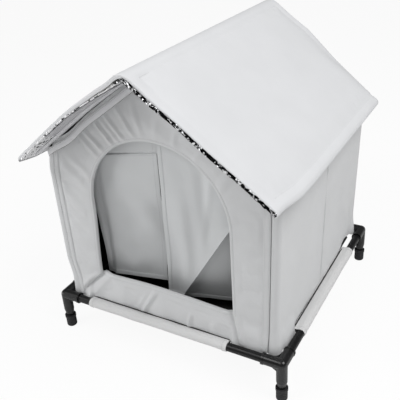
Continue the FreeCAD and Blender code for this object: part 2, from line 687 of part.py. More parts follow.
def meeting(share):
    """Place across the doorway where the flaps meet, at a share of their length below the hinge."""
    return value("Sizes.meeting_top") * (1 - share) - value("Sizes.meeting_foot") * share


def make_left_flap(label):
    """Left flap: it leans in and bows, more at its inner edge; its outer margin turns to the wall."""
    half_gap = value("Sizes.flap_gap / 2")
    wide = -value(LEFT_WIDTH)
    narrow = -value(FLAP_TOP_WIDTH)
    length = value(FLAP_LENGTH)
    margin = value("Sizes.left_margin")
    margin_set = value("Sizes.left_margin_set")
    sets = [value("Sizes.left_%s_set" % part) for part in ("outer", "middle", "inner")]
    least_bow = value("Sizes.flap_thickness / 50")

    def section(drop, outer):
        share = drop / length
        inner = meeting(share) - half_gap
        begin = outer + margin
        line = [
            (outer, (sets[0] - margin_set) * share),
            (begin, sets[0] * share),
            ((begin + inner) / 2, sets[1] * share - least_bow),
            (inner, sets[2] * share),
        ]
        return bowed_section(drop, line)

    sections = [section(0, narrow), section(value(LEFT_SHOULDER), wide), section(length, wide)]
    make_flap(label, sections, narrow, meeting(0) - half_gap)


def make_right_flap(label):
    """Right flap: it leans in and its lower outer corner is folded back along a slanting line."""
    half_gap = value("Sizes.flap_gap / 2")
    wide = value(RIGHT_WIDTH)
    narrow = value(FLAP_TOP_WIDTH)
    length = value(FLAP_LENGTH)
    lean = value("Sizes.right_set")
    corner = value("Sizes.right_corner_set")
    hem = value("Sizes.hem_diameter")

    def section(drop, outer, fold, extra):
        share = drop / length
        back = lean * share
        inner = meeting(share) + half_gap
        return folded_section(drop, [(inner, back), (fold, back), (outer, back + extra)])

    sections = [
        section(0, narrow, narrow - hem, 0),
        section(value(RIGHT_SHOULDER), wide, wide - hem, 0),
        section(value("Sizes.fold_start_drop"), wide, wide - hem, 0),
        section(length, wide, value("Sizes.fold_foot"), corner),
    ]
    make_flap(label, sections, meeting(0) + half_gap, narrow)


def check_document():
    """Stop where any object failed or any sub-part has no sound solid."""
    for item in document.Objects:
        if "Invalid" in item.State or "Error" in item.State:
            raise RuntimeError("%s is %s" % (item.Label, item.State))
    for item in SUB_PARTS:
        shape = item.Shape
        if shape.isNull() or not shape.isValid() or len(shape.Solids) != 1:
            raise RuntimeError("%s has no sound single solid" % item.Label)


CORNERS = (
    ("front_left", -1, -1, 0),
    ("front_right", 1, -1, 90),
    ("back_right", 1, 1, 180),
    ("back_left", -1, 1, 270),
)
for corner_name, corner_x, corner_y, corner_turn in CORNERS:
    make_connector("corner_connector_%s" % corner_name, corner_x, corner_y, corner_turn)
    make_foot_cap("foot_cap_%s" % corner_name, corner_x, corner_y)
    make_corner_binding("corner_binding_%s" % corner_name, corner_x, corner_y)

make_rail("rail_tube_front", True, -1)
make_rail("rail_tube_back", True, 1)
make_rail("rail_tube_left", False, -1)
make_rail("rail_tube_right", False, 1)
make_sleeve("rail_sleeve_front", True, -1, "Sizes.front_sleeve_length", "-Sizes.front_sleeve_shift")
make_sleeve("rail_sleeve_back", True, 1, "Sizes.front_sleeve_length", "0")
make_sleeve("rail_sleeve_left", False, -1, "Sizes.side_sleeve_length", "0")
make_sleeve("rail_sleeve_right", False, 1, "Sizes.side_sleeve_length", "-Sizes.side_sleeve_shift")

floor_body = new_body("floor_sheet")
floor_sketch = new_sketch(floor_body, "XY_Plane", FLOOR_UNDER)
FLOOR_CUT_X = "(%s - Sizes.floor_corner_cut)" % HOUSE_X
FLOOR_CUT_Y = "(%s - Sizes.floor_corner_cut)" % HOUSE_Y
draw_outline(floor_sketch, [
    ("-%s" % FLOOR_CUT_X, "-%s" % HOUSE_Y),
    (FLOOR_CUT_X, "-%s" % HOUSE_Y),
    (HOUSE_X, "-%s" % FLOOR_CUT_Y),
    (HOUSE_X, FLOOR_CUT_Y),
    (FLOOR_CUT_X, HOUSE_Y),
    ("-%s" % FLOOR_CUT_X, HOUSE_Y),
    ("-%s" % HOUSE_X, FLOOR_CUT_Y),
    ("-%s" % HOUSE_X, "-%s" % FLOOR_CUT_Y),
])
add_pad(floor_body, floor_sketch, "Sizes.floor_thickness")

make_gable_wall("front", True)
make_gable_wall("back", False)
make_side_wall("left", -1)
make_side_wall("right", 1)
make_doorway_facing("doorway_facing")
for side_name, side_sign in (("left", -1), ("right", 1)):
    make_gable_tape("gable_tape_front_%s" % side_name, side_sign, True)
    make_gable_tape("gable_tape_back_%s" % side_name, side_sign, False)
    make_roof(side_name, side_sign, "Sizes.back_droop" if side_sign > 0 else "0")

header_body = new_body("door_header_tape")
header_sketch = new_sketch(header_body, "XZ_Plane", "%s - %s" % (HOUSE_Y, WALL))
HEADER_END = "(%s + Sizes.header_margin)" % FLAP_TOP_WIDTH
draw_outline(header_sketch, rectangle("-%s" % HEADER_END, HEADER_END, HEADER_FOOT, HEADER_TOP))
add_pad(header_body, header_sketch, "Sizes.tape_thickness", reverse=True)

make_ridge_fold("ridge_fold")
make_left_flap("door_flap_left")
make_right_flap("door_flap_right")

document.recompute()
check_document()
os.makedirs("parts", exist_ok=True)
for sub_part in SUB_PARTS:
    sub_part.Shape.exportStep("parts/%s.step" % sub_part.Label)
print("%d sub-parts written" % len(SUB_PARTS))
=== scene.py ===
"""Looks of the raised cat house.

The soft pieces are built here in millimetres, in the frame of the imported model, and written in
metres. The moulded corners, the rail tubes and the foot caps keep their meshes and get finishes.
"""

import logging
import math
from dataclasses import dataclass
from enum import Enum
from typing import Sequence

import bpy
import numpy as np
from mathutils import Matrix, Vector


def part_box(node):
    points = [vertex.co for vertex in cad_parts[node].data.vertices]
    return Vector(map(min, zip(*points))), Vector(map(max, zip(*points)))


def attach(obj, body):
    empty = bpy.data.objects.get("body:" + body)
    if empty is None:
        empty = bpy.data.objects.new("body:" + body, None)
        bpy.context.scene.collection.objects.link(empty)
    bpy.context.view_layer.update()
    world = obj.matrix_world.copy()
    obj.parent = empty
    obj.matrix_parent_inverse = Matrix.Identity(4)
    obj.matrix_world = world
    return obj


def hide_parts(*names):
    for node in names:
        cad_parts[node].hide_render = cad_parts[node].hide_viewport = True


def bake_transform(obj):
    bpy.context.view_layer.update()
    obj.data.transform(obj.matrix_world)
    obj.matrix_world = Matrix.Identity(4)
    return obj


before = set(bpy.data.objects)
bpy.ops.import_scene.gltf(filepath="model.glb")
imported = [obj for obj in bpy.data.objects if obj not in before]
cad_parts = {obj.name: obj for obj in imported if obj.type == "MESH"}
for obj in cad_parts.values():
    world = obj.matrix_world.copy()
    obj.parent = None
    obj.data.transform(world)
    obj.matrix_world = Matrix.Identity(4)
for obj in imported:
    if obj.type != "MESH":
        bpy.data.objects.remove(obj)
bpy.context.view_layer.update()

MM = 0.001
PITCH = math.radians(35.0)
COS, SIN, TAN = math.cos(PITCH), math.sin(PITCH), math.tan(PITCH)
UP = np.array([0.0, 0.0, 1.0])
Array = np.ndarray
Number = np.ndarray | float
Piece = bpy.types.Object
log = logging.getLogger("cat_house")


class Side(Enum):
    """Side of the house, for someone who looks at the doorway."""

    LEFT = -1
    RIGHT = 1

    @property
    def word(self) -> str:
        """Name used in the pieces."""
        return self.name.lower()


class Gable(Enum):
    """Gable end of the house."""

    FRONT = -1
    BACK = 1

    @property
    def word(self) -> str:
        """Name used in the pieces."""
        return self.name.lower()


def ease(low: float, high: float, x: Array) -> Array:
    """Smooth step.

    Args:
        low: Place where the step starts.
        high: Place where it ends.
        x: Places to read it at.

    Returns:
        0 before low, 1 after high and a smooth rise between them.
    """
    share = np.clip((np.asarray(x, float) - low) / (high - low), 0.0, 1.0)
    return share * share * (3.0 - 2.0 * share)


def bell(distance: Array, width: float) -> Array:
    """Bell curve of 1 at no distance that fades over a width."""
    return np.exp(-((np.asarray(distance, float) / width) ** 2))


def undulate(a: Array, b: Array, wavelength: float, seed: int) -> Array:
    """Slack of a cloth: a few long waves in several directions.

    Args:
        a: First flat coordinate in millimetres.
        b: Second flat coordinate in millimetres.
        wavelength: Middle wavelength in millimetres.
        seed: Number that fixes the waves.

    Returns:
        Heights of about -1 to 1.
    """
    draw = np.random.default_rng(seed)
    waves = 7
    total = np.zeros(np.broadcast(a, b).shape)
    for _ in range(waves):
        heading, phase = draw.uniform(0.0, math.tau, 2)
        length = wavelength * draw.uniform(0.7, 1.6)
        total += np.sin(math.tau / length * (a * math.cos(heading) + b * math.sin(heading)) + phase)
    return total / math.sqrt(waves)


@dataclass(frozen=True)
class Crease:
    """Ridge in a cloth along a line, with a hollow beside it; a negative height is a groove."""

    begin: tuple[float, float]
    end: tuple[float, float]
    width: float
    height: float

    def lift(self, a: Array, b: Array) -> Array:
        """Height of the crease.

        Args:
            a: First flat coordinate in millimetres.
            b: Second flat coordinate in millimetres.

        Returns:
            Heights in millimetres.
        """
        run_a, run_b = self.end[0] - self.begin[0], self.end[1] - self.begin[1]
        share = ((a - self.begin[0]) * run_a + (b - self.begin[1]) * run_b) / (run_a**2 + run_b**2)
        near = np.clip(share, 0.0, 1.0)
        away = np.hypot(a - self.begin[0] - near * run_a, b - self.begin[1] - near * run_b)
        fade = ease(-0.2, 0.3, share) * (1.0 - ease(0.7, 1.2, share))
        return self.height * fade * (bell(away, self.width) - 0.3 * bell(away, 2.6 * self.width))


def creased(creases: Sequence[Crease], a: Array, b: Array) -> Array:
    """Sum of several creases at flat places."""
    return sum((crease.lift(a, b) for crease in creases), np.zeros(np.broadcast(a, b).shape))


def spots(*parts: Number) -> Array:
    """Places from coordinates that are brought to one shape."""
    return np.stack(np.broadcast_arrays(*parts), axis=-1)


def wrapped(grid: Array) -> Array:
    """Grid with its first column again after its last."""
    return np.concatenate([grid, grid[:, :1]], axis=1)


def grid_normals(points: Array, closed: bool) -> Array:
    """Normals of a grid.

    Args:
        points: Grid of places.
        closed: True where the last column meets the first.

    Returns:
        Grid of unit vectors.
    """
    along = np.gradient(points, axis=0)
    if closed:
        across = np.roll(points, -1, axis=1) - np.roll(points, 1, axis=1)
    else:
        across = np.gradient(points, axis=1)
    normal = np.cross(along, across)
    return normal / np.maximum(np.linalg.norm(normal, axis=2, keepdims=True), 1e-9)


def run_length(path: Array) -> Array:
    """Length along a path up to each of its points."""
    steps = np.linalg.norm(np.diff(path, axis=0), axis=1)
    return np.concatenate([[0.0], np.cumsum(steps)])


def read_along(length: Array, table: Array, places: Array) -> Array:
    """Rows of a table, given at lengths along a path, at other lengths along it."""
    return np.stack([np.interp(places, length, table[:, k]) for k in range(3)], axis=1)


class Pattern:
    """Mesh of one piece, gathered from grids of points with their places on the flat cloth."""

    INSIDE = (0.0, 0.0, 300.0)

    def __init__(self, name: str) -> None:
        """Start an empty piece.

        Args:
            name: Name of the piece.
        """
        self.name = name
        self.count = 0
        self.points: list[Array] = []
        self.faces: list[Array] = []
        self.flats: list[Array] = []

    def add_quads(self, points: Array, quads: Array, flats: Array) -> None:
        """Add faces of four corners.

        Args:
            points: Places, one row each, in millimetres.
            quads: Corner numbers within points.
            flats: Flat places of each face's corners.
        """
        self.points.append(points)
        self.faces.append(quads + self.count)
        self.flats.append(flats)
        self.count += len(points)

    @staticmethod
    def corners(table: Array, flip: bool) -> Array:
        """Four corners of each cell of a table; flip turns their order round."""
        around = [table[:-1, :-1], table[1:, :-1], table[1:, 1:], table[:-1, 1:]]
        return np.stack(around[::-1] if flip else around, axis=2)

    def add_grid(self, points: Array, flat: Array, closed: bool = False, flip: bool = False) -> Array:
        """Add one face of cloth.

        Args:
            points: Grid of places.
            flat: Grid of flat places, one column more where the grid is closed.
            closed: True where the last column meets the first.
            flip: True to turn the face over.

        Returns:
            Grid of the vertex numbers, with its first column again where it is closed.
        """
        rows, columns = points.shape[:2]
        index = np.arange(rows * columns).reshape(rows, columns)
        if closed:
            index = wrapped(index)
        shift = self.count
        quads, flats = self.corners(index, flip), self.corners(flat, flip)
        self.add_quads(points.reshape(-1, 3), quads.reshape(-1, 4), flats.reshape(-1, 4, 2))
        return index + shift

    def add_rim(self, face: Array, other: Array, flat: Array) -> None:
        """Join the edges of two faces along one side.

        Args:
            face: Vertex numbers along the edge of one face.
            other: Vertex numbers along the edge of the other.
            flat: Flat places along the edge.
        """
        quads = np.stack([face[:-1], face[1:], other[1:], other[:-1]], axis=1)
        places = np.stack([flat[:-1], flat[1:], flat[1:], flat[:-1]], axis=1)
        self.faces.append(quads)
        self.flats.append(places)

    def add_layer(
        self, points: Array, other_points: Array, flat: Array, outward: bool, closed: bool = False
    ) -> None:
        """Add two faces and join their edges.

        Args:
            points: Grid of places on the face that shows.
            other_points: Grid of places on the other face.
            flat: Grid of flat places.
            outward: True where the first grid's normals point off the layer.
            closed: True where the last column meets the first.
        """
        face = self.add_grid(points, flat, closed, flip=not outward)
        other = self.add_grid(other_points, flat, closed, flip=outward)
        edges = [(face[0], other[0], flat[0], True), (face[-1], other[-1], flat[-1], False)]
        if not closed:
            edges += [(face[:, k], other[:, k], flat[:, k], k < 0) for k in (0, -1)]
        for one, two, places, turn in edges:
            step = 1 if turn == outward else -1
            self.add_rim(one[::step], two[::step], places[::step])

    def add_shell(
        self,
        points: Array,
        flat: Array,
        thickness: float,
        closed: bool = False,
        toward: tuple[float, float, float] = INSIDE,
    ) -> None:
        """Add a cloth or slab with a thickness.

        Args:
            points: Grid of places on the face that shows.
            flat: Grid of flat places.
            thickness: Distance to the other face in millimetres.
            closed: True where the last column meets the first.
            toward: Place that the other face lies towards.
        """
        normal = grid_normals(points, closed)
        outward = float(np.sum(normal * (points - np.array(toward)), axis=2).mean()) > 0.0
        other_points = points + normal * (-thickness if outward else thickness)
        self.add_layer(points, other_points, flat, outward, closed)

    def add_ribbon(self, path: Array, across: Array, normal: Array, width: float, thickness: float) -> None:
        """Add a woven tape with soft edges and closed ends.

        Args:
            path: Places along the middle of its lower face.
            across: Unit vectors across the tape.
            normal: Unit vectors off its lower face.
            width: Width in millimetres.
            thickness: Thickness in millimetres.
        """
        half = width / 2.0
        soft = min(0.6, half / 3.0)
        section = [(-half, 0.5), (soft - half, 1.0), (0.0, 1.06), (half - soft, 1.0),
                   (half, 0.5), (half - soft, 0.0), (soft - half, 0.0)]
        across = np.broadcast_to(across, path.shape)
        normal = np.broadcast_to(normal, path.shape)
        grid = np.stack([path + a * across + n * thickness * normal for a, n in section], axis=1)
        ends = np.stack([path + a * across + 0.5 * thickness * normal for a, _ in section], axis=1)
        grid = np.concatenate([ends[:1], grid, ends[-1:]], axis=0)
        length = run_length(path)
        length = np.concatenate([length[:1], length, length[-1:]])
        places = np.array([a for a, _ in section] + [section[0][0]])
        self.add_grid(grid, spots(length[:, None], places), closed=True)

    def add_stitches(self, path: Array, normal: Array, pitch: float = 4.0, radius: float = 0.45) -> None:
        """Add a row of short threads that lie on a surface.

        Args:
            path: Places along the seam.
            normal: Unit vectors off the surface, one or one per place.
            pitch: Spacing of the stitches in millimetres.
            radius: Half of the thread's thickness in millimetres.
        """
        length = run_length(path)
        number = max(1, int(length[-1] / pitch))
        middles = (np.arange(number) + 0.5) * length[-1] / number
        run = read_along(length, path, middles + 0.5) - read_along(length, path, middles - 0.5)
        run /= np.maximum(np.linalg.norm(run, axis=1, keepdims=True), 1e-9)
        off = read_along(length, np.broadcast_to(normal, path.shape), middles)
        side = np.cross(run, off)
        side /= np.maximum(np.linalg.norm(side, axis=1, keepdims=True), 1e-9)
        rings = []
        for share, swell in ((-0.36, 0.35), (-0.2, 1.0), (0.2, 1.0), (0.36, 0.35)):
            centre = read_along(length, path, middles + share * pitch)
            for turn_side, turn_off in ((1.0, 0.0), (0.0, 1.0), (-1.0, 0.0), (0.0, -0.6)):
                rings.append(centre + radius * swell * (turn_side * side + turn_off * off))
        points = np.stack(rings, axis=1)
        quads = [(3, 2, 1, 0), (12, 13, 14, 15)]
        for ring in range(3):
            for k in range(4):
                low, high = 4 * ring + k, 4 * ring + (k + 1) % 4
                quads.append((low, high, high + 4, low + 4))
        table = (np.array(quads)[None] + 16 * np.arange(number)[:, None, None]).reshape(-1, 4)
        self.add_quads(points.reshape(-1, 3), table, np.zeros((len(table), 4, 2)))

    def write(self, material: bpy.types.Material, crisp: float = 50.0) -> Piece:
        """Write the piece into the scene.

        Args:
            material: Finish of the piece.
            crisp: Angle in degrees above which an edge stays sharp.

        Returns:
            The new object.
        """
        mesh = bpy.data.meshes.new(self.name)
        points = np.concatenate(self.points) * MM
        mesh.from_pydata(points.tolist(), [], np.concatenate(self.faces).tolist())
        layer = mesh.uv_layers.new(name="flat")
        layer.data.foreach_set("uv", (np.concatenate(self.flats) * MM).astype(np.float32).ravel())
        mesh.shade_smooth()
        mesh.set_sharp_from_angle(angle=math.radians(crisp))
        mesh.materials.append(material)
        piece = bpy.data.objects.new(self.name, mesh)
        bpy.context.scene.collection.objects.link(piece)
        return piece


@dataclass(frozen=True)
class ClothRun:
    """Short cloth simulation that lets a sewn cloth fill out between its seams."""

    pressure: float
    slack: float
    cap: float
    quality: int = 6
    last_frame: int = 20
    step: int = 2
    mass: float = 0.05
    stiffness: float = 0.6

    def thinned(self, count: int, closed: bool) -> Array:
        """Rows or columns that take part; the last one always does where the grid is open."""
        kept = np.arange(0, count, self.step)
        return kept if closed or kept[-1] == count - 1 else np.append(kept, count - 1)

    def temporary(self, coarse: Array, held: Array, closed: bool) -> Piece:
        """Coarse cloth with its seams pinned, facing away from the inside of the house.

        Args:
            coarse: Grid of places in millimetres.
            held: Grid that is true at pinned places.
            closed: True where the last column meets the first.

        Returns:
            The cloth, ready to run.
        """
        away = grid_normals(coarse, closed) * (coarse - np.array(Pattern.INSIDE))
        pattern = Pattern("cloth_run")
        places = coarse[:, :, :2]
        flat = wrapped(places) if closed else places
        pattern.add_grid(coarse, flat, closed, flip=float(away.sum(axis=2).mean()) < 0.0)
        mesh = bpy.data.meshes.new("cloth_run")
        mesh.from_pydata((pattern.points[0] * MM).tolist(), [], pattern.faces[0].tolist())
        cloth = bpy.data.objects.new("cloth_run", mesh)
        bpy.context.scene.collection.objects.link(cloth)
        pins = cloth.vertex_groups.new(name="seams")
        pins.add(np.flatnonzero(held.ravel()).tolist(), 1.0, "REPLACE")
        run = cloth.modifiers.new("cloth", "CLOTH")
        settings = {"quality": self.quality, "mass": self.mass, "vertex_group_mass": "seams",
                    "use_pressure": True, "uniform_pressure_force": self.pressure,
                    "shrink_min": -self.slack, "bending_stiffness": self.stiffness}
        for key, setting in settings.items():
            setattr(run.settings, key, setting)
        run.settings.effector_weights.gravity = 0.0
        run.point_cache.frame_start = 1
        run.point_cache.frame_end = self.last_frame
        return cloth

    def fill_out(self, points: Array, held: Array, closed: bool = False) -> Array:
        """Run the cloth and add its movement to the finer grid.

        Args:
            points: Grid of places in millimetres.
            held: Grid that is true at pinned places.
            closed: True where the last column meets the first.
        """
        rows, columns = points.shape[:2]
        kept_rows, kept_columns = self.thinned(rows, False), self.thinned(columns, closed)
        coarse = points[np.ix_(kept_rows, kept_columns)]
        cloth = self.temporary(coarse, held[np.ix_(kept_rows, kept_columns)], closed)
        scene = bpy.context.scene
        for number in range(1, self.last_frame + 1):
            scene.frame_set(number)
        ran = cloth.evaluated_get(bpy.context.evaluated_depsgraph_get())
        places = np.empty(coarse.size)
        ran.data.vertices.foreach_get("co", places)
        moved = places.reshape(coarse.shape) / MM - coarse
        mesh = cloth.data
        bpy.data.objects.remove(cloth)
        bpy.data.meshes.remove(mesh)
        scene.frame_set(1)
        far = np.linalg.norm(moved, axis=2, keepdims=True)
        log.info("cloth run: largest movement %.2f mm, middle %.2f mm", far.max(), float(np.median(far)))
        moved = moved * self.cap * np.tanh(far / self.cap) / np.maximum(far, 1e-6)
        if closed:
            moved = wrapped(moved)
            kept_columns = np.append(kept_columns, columns)
        wide = np.stack([[np.interp(np.arange(columns), kept_columns, row[:, k]) for k in range(3)]
                         for row in moved])
        fine = [[np.interp(np.arange(rows), kept_rows, wide[:, k, c]) for c in range(columns)]
                for k in range(3)]
        return points + np.array(fine).transpose(2, 1, 0)


def settle(
    pattern: Pattern,
    material: bpy.types.Material,
    body: str,
    slot: str,
    *nodes: str,
    crisp: float = 50.0,
) -> Piece:
    """Write a piece, put it on its body and hide the nodes that it stands for.

    Args:
        pattern: The piece.
        material: Its finish.
        body: Body that it rides on.
        slot: Not used.
        nodes: Nodes that it replaces.
        crisp: Angle in degrees above which an edge stays sharp.

    Returns:
        The new object.
    """
    piece = pattern.write(material, crisp)
    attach(piece, body)
    if nodes:
        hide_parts(*nodes)
    log.info("%s on %s, %d faces", piece.name, body, len(piece.data.polygons))
    return piece


def sew(
    name: str,
    material: bpy.types.Material,
    body: str,
    slot: str,
    rows: Sequence[tuple[Array, Array]],
    radius: float = 0.45,
) -> Piece:
    """Make rows of stitches.

    Args:
        name: Name of the piece.
        material: Finish of the thread.
        body: Body that it rides on.
        slot: Passed on to settle, which does not use it.
        rows: Places along each row, and unit vectors off the surface.
        radius: Half of the thread's thickness in millimetres.

    Returns:
        The stitches.
    """
    thread = Pattern(name)
    for path, off in rows:
        thread.add_stitches(path, off, radius=radius)
    return settle(thread, material, body, slot)


def linear(code: str) -> tuple[float, float, float, float]:
    """Linear colour.

    Args:
        code: The colour as an sRGB hex value.

    Returns:
        Red, green, blue and opacity.
    """
    parts = [int(code[k:k + 2], 16) / 255.0 for k in (1, 3, 5)]
    bent = [c / 12.92 if c <= 0.04045 else ((c + 0.055) / 1.055) ** 2.4 for c in parts]
    return (bent[0], bent[1], bent[2], 1.0)


def wave_scale(spacing: float) -> float:
    """Scale of a wave texture whose bands are that many millimetres apart."""
    return math.tau / (20.0 * spacing * MM)


def spot_scale(size: float) -> float:
    """Scale of a noise or cell texture whose features are about that many millimetres across."""
    return 1.0 / (size * MM)


def add_node(
    tree: bpy.types.NodeTree, kind: str, inputs: dict | None = None, **settings: object
) -> bpy.types.Node:
    """Add a node with its settings and links.

    Args:
        tree: Node tree of a material or the world.
        kind: Type name of the node without its first word.
        inputs: Values or sockets by input name or number.
        settings: Properties of the node.

    Returns:
        The node.
    """
    node = tree.nodes.new("ShaderNode" + kind)
    for key, setting in settings.items():
        setattr(node, key, setting)
    for key, item in (inputs or {}).items():
        if isinstance(item, bpy.types.NodeSocket):
            tree.links.new(item, node.inputs[key])
        else:
            node.inputs[key].default_value = item
    return node


def new_material(name: str) -> tuple[bpy.types.Material, bpy.types.NodeTree]:
    """Empty node material.

    Args:
        name: Name of the real material.

    Returns:
        The material and its node tree.
    """
    material = bpy.data.materials.new(name)
    material.use_nodes = True
    material.node_tree.nodes.clear()
    return material, material.node_tree


@dataclass(frozen=True)
class Finish:
    """Finish named for its real material."""

    name: str

    def surface(self, tree: bpy.types.NodeTree) -> dict:
        """Inputs of the shader; each finish has its own."""
        raise NotImplementedError(self.name)

    def build(self) -> bpy.types.Material:
        """Make the material.

        Returns:
            The material.
        """
        material, tree = new_material(self.name)
        shader = add_node(tree, "BsdfPrincipled", self.surface(tree))
        add_node(tree, "OutputMaterial", {"Surface": shader.outputs["BSDF"]})
        return material


@dataclass(frozen=True)
class OxfordCloth(Finish):
    """Polyester oxford, plain woven from doubled yarn: matt, a soft sheen at grazing light and a
    small basket grain. The real yarns are 0.5 mm apart, which is too fine to show, so the grain is
    drawn coarser."""

    colour: str
    # Second colour: random mottle, and painted shade mixed into the weave's hollows.
    worn: str
    yarn: float = 1.8
    grain: float = 0.18
    roughness: float = 0.82
    sheen: float = 0.15

    def surface(self, tree: bpy.types.NodeTree) -> dict:
        """Look of the finish.

        Args:
            tree: Node tree of the material.

        Returns:
            Values and sockets of the shader's inputs.
        """
        place = add_node(tree, "TexCoord").outputs["UV"]
        warp, weft = [
            add_node(tree, "TexWave",
                     {"Vector": place, "Scale": wave_scale(self.yarn), "Distortion": 0.6,
                      "Detail": 1.0, "Detail Scale": 2.0},
                     bands_direction=way).outputs["Fac"]
            for way in ("X", "Y")
        ]
        weave = add_node(tree, "Math", {0: warp, 1: weft}, operation="MULTIPLY").outputs[0]
        clouds = add_node(tree, "TexNoise",
                          {"Vector": place, "Scale": spot_scale(70.0), "Detail": 4.0}).outputs["Fac"]
        slubs = add_node(tree, "TexNoise",
                         {"Vector": place, "Scale": spot_scale(3.0), "Detail": 2.0}).outputs["Fac"]
        share = add_node(tree, "MapRange", {0: clouds, 3: 0.0, 4: 0.7}).outputs[0]
        base = add_node(tree, "Mix", {0: share, 6: linear(self.colour), 7: linear(self.worn)},
                        data_type="RGBA").outputs[2]
        # Painted shade: up to 12% of the second colour is mixed into the weave's hollows.
        share = add_node(tree, "MapRange", {0: weave, 3: 0.12, 4: 0.0}).outputs[0]
        base = add_node(tree, "Mix", {0: share, 6: base, 7: linear(self.worn)},
                        data_type="RGBA").outputs[2]
        rough = add_node(tree, "MapRange",
                         {0: slubs, 3: self.roughness - 0.08, 4: self.roughness + 0.08}).outputs[0]
        height = add_node(tree, "Math", {0: slubs, 1: weave}, operation="ADD").outputs[0]
        bump = add_node(tree, "Bump", {"Height": height, "Strength": self.grain, "Distance": 0.6 * MM})
        return {
            "Base Color": base, "Roughness": rough, "IOR": 1.5,
            "Sheen Weight": self.sheen, "Sheen Roughness": 0.5,
            "Normal": bump.outputs["Normal"],
        }


@dataclass(frozen=True)
class WovenTape(Finish):
    """Nylon grosgrain and hook-and-loop tape: ribs across the tape, a little glossier than cloth."""

    colour: str
    # Second colour: random mottle, and painted shade between the loops.
    worn: str
    rib: float = 1.6
    nap: float = 1.2
    depth: float = 0.3
    roughness: float = 0.7
    sheen: float = 0.1

    def surface(self, tree: bpy.types.NodeTree) -> dict:
        """Look of the finish.

        Args:
            tree: Node tree of the material.

        Returns:
            Values and sockets of the shader's inputs.
        """
        place = add_node(tree, "TexCoord").outputs["UV"]
        ribs = add_node(tree, "TexWave",
                        {"Vector": place, "Scale": wave_scale(self.rib), "Distortion": 0.4},
                        bands_direction="X").outputs["Fac"]
        loops = add_node(tree, "TexVoronoi",
                         {"Vector": place, "Scale": spot_scale(self.nap)}).outputs["Distance"]
        height = add_node(tree, "Math", {0: ribs, 1: loops}, operation="ADD").outputs[0]
        clouds = add_node(tree, "TexNoise",
                          {"Vector": place, "Scale": spot_scale(25.0), "Detail": 3.0}).outputs["Fac"]
        share = add_node(tree, "MapRange", {0: clouds, 3: 0.1, 4: 0.8}).outputs[0]
        base = add_node(tree, "Mix", {0: share, 6: linear(self.colour), 7: linear(self.worn)},
                        data_type="RGBA").outputs[2]
        # Painted shade: up to 35% of the second colour towards the edges of the loop cells, between the
        # loops.
        share = add_node(tree, "MapRange", {0: loops, 3: 0.0, 4: 0.35}).outputs[0]
        base = add_node(tree, "Mix", {0: share, 6: base, 7: linear(self.worn)},
                        data_type="RGBA").outputs[2]
        rough = add_node(tree, "MapRange",
                         {0: clouds, 3: self.roughness - 0.1, 4: self.roughness + 0.1}).outputs[0]
        bump = add_node(tree, "Bump", {"Height": height, "Strength": self.depth, "Distance": 0.5 * MM})
        return {
            "Base Color": base, "Roughness": rough, "IOR": 1.53,
            "Sheen Weight": self.sheen, "Normal": bump.outputs["Normal"],
        }


@dataclass(frozen=True)
class CrinkledFoil(Finish):
    """Aluminised film, vacuum coated and crumpled. The bright and dark facets that it would mirror are
    painted reflections: a cell pattern mixes a bright and a dark base colour."""

    dark_share: float
    # Painted reflections: colours of the bright and of the dark facets.
    bright: str = "#F2F3F5"
    dark: str = "#0B0B0D"
    facet: float = 4.2
    rough_low: float = 0.12
    rough_high: float = 0.34

    def surface(self, tree: bpy.types.NodeTree) -> dict:
        """Look of the finish.

        Args:
            tree: Node tree of the material.

        Returns:
            Values and sockets of the shader's inputs.
        """
        place = add_node(tree, "TexCoord").outputs["Object"]
        facets = add_node(tree, "TexVoronoi",
                          {"Vector": place, "Scale": spot_scale(self.facet), "Randomness": 1.0})
        tone = add_node(tree, "SeparateColor", {0: facets.outputs["Color"]}).outputs[0]
        # Painted reflections: a share of the cells is painted dark, the rest bright.
        step = add_node(tree, "MapRange",
                        {0: tone, 1: self.dark_share - 0.06, 2: self.dark_share + 0.06}).outputs[0]
        base = add_node(tree, "Mix", {0: step, 6: linear(self.dark), 7: linear(self.bright)},
                        data_type="RGBA").outputs[2]
        fine = add_node(tree, "TexNoise",
                        {"Vector": place, "Scale": spot_scale(2.5), "Detail": 3.0}).outputs["Fac"]
        rough = add_node(tree, "MapRange", {0: fine, 3: self.rough_low, 4: self.rough_high}).outputs[0]
        height = add_node(tree, "Math", {0: fine, 1: facets.outputs["Distance"]},
                          operation="ADD").outputs[0]
        bump = add_node(tree, "Bump", {"Height": height, "Strength": 0.5, "Distance": 1.2 * MM})
        return {
            "Base Color": base, "Metallic": 1.0, "Roughness": rough,
            "Normal": bump.outputs["Normal"],
        }


@dataclass(frozen=True)
class Moulded(Finish):
    """Moulded or coated hard finish: a near even colour, a fine skin texture, gloss that varies a
    little and slightly lighter rubbed patches."""

    colour: str
    rubbed: str
    skin: float
    depth: float
    rough_low: float
    rough_high: float
    coat: float = 0.0
    ior: float = 1.52

    def surface(self, tree: bpy.types.NodeTree) -> dict:
        """Look of the finish.

        Args:
            tree: Node tree of the material.

        Returns:
            Values and sockets of the shader's inputs.
        """
        place = add_node(tree, "TexCoord").outputs["Object"]
        skin = add_node(tree, "TexNoise",
                        {"Vector": place, "Scale": spot_scale(self.skin), "Detail": 3.0}).outputs["Fac"]
        rubs = add_node(tree, "TexNoise",
                        {"Vector": place, "Scale": spot_scale(22.0), "Detail": 5.0}).outputs["Fac"]
        share = add_node(tree, "MapRange", {0: rubs, 1: 0.45, 2: 0.75}).outputs[0]
        base = add_node(tree, "Mix", {0: share, 6: linear(self.colour), 7: linear(self.rubbed)},
                        data_type="RGBA").outputs[2]
        rough = add_node(tree, "MapRange", {0: rubs, 3: self.rough_low, 4: self.rough_high}).outputs[0]
        bump = add_node(tree, "Bump", {"Height": skin, "Strength": self.depth, "Distance": 0.3 * MM})
        return {
            "Base Color": base, "Roughness": rough, "IOR": self.ior,
            "Coat Weight": self.coat, "Coat Roughness": 0.2,
            "Normal": bump.outputs["Normal"],
        }


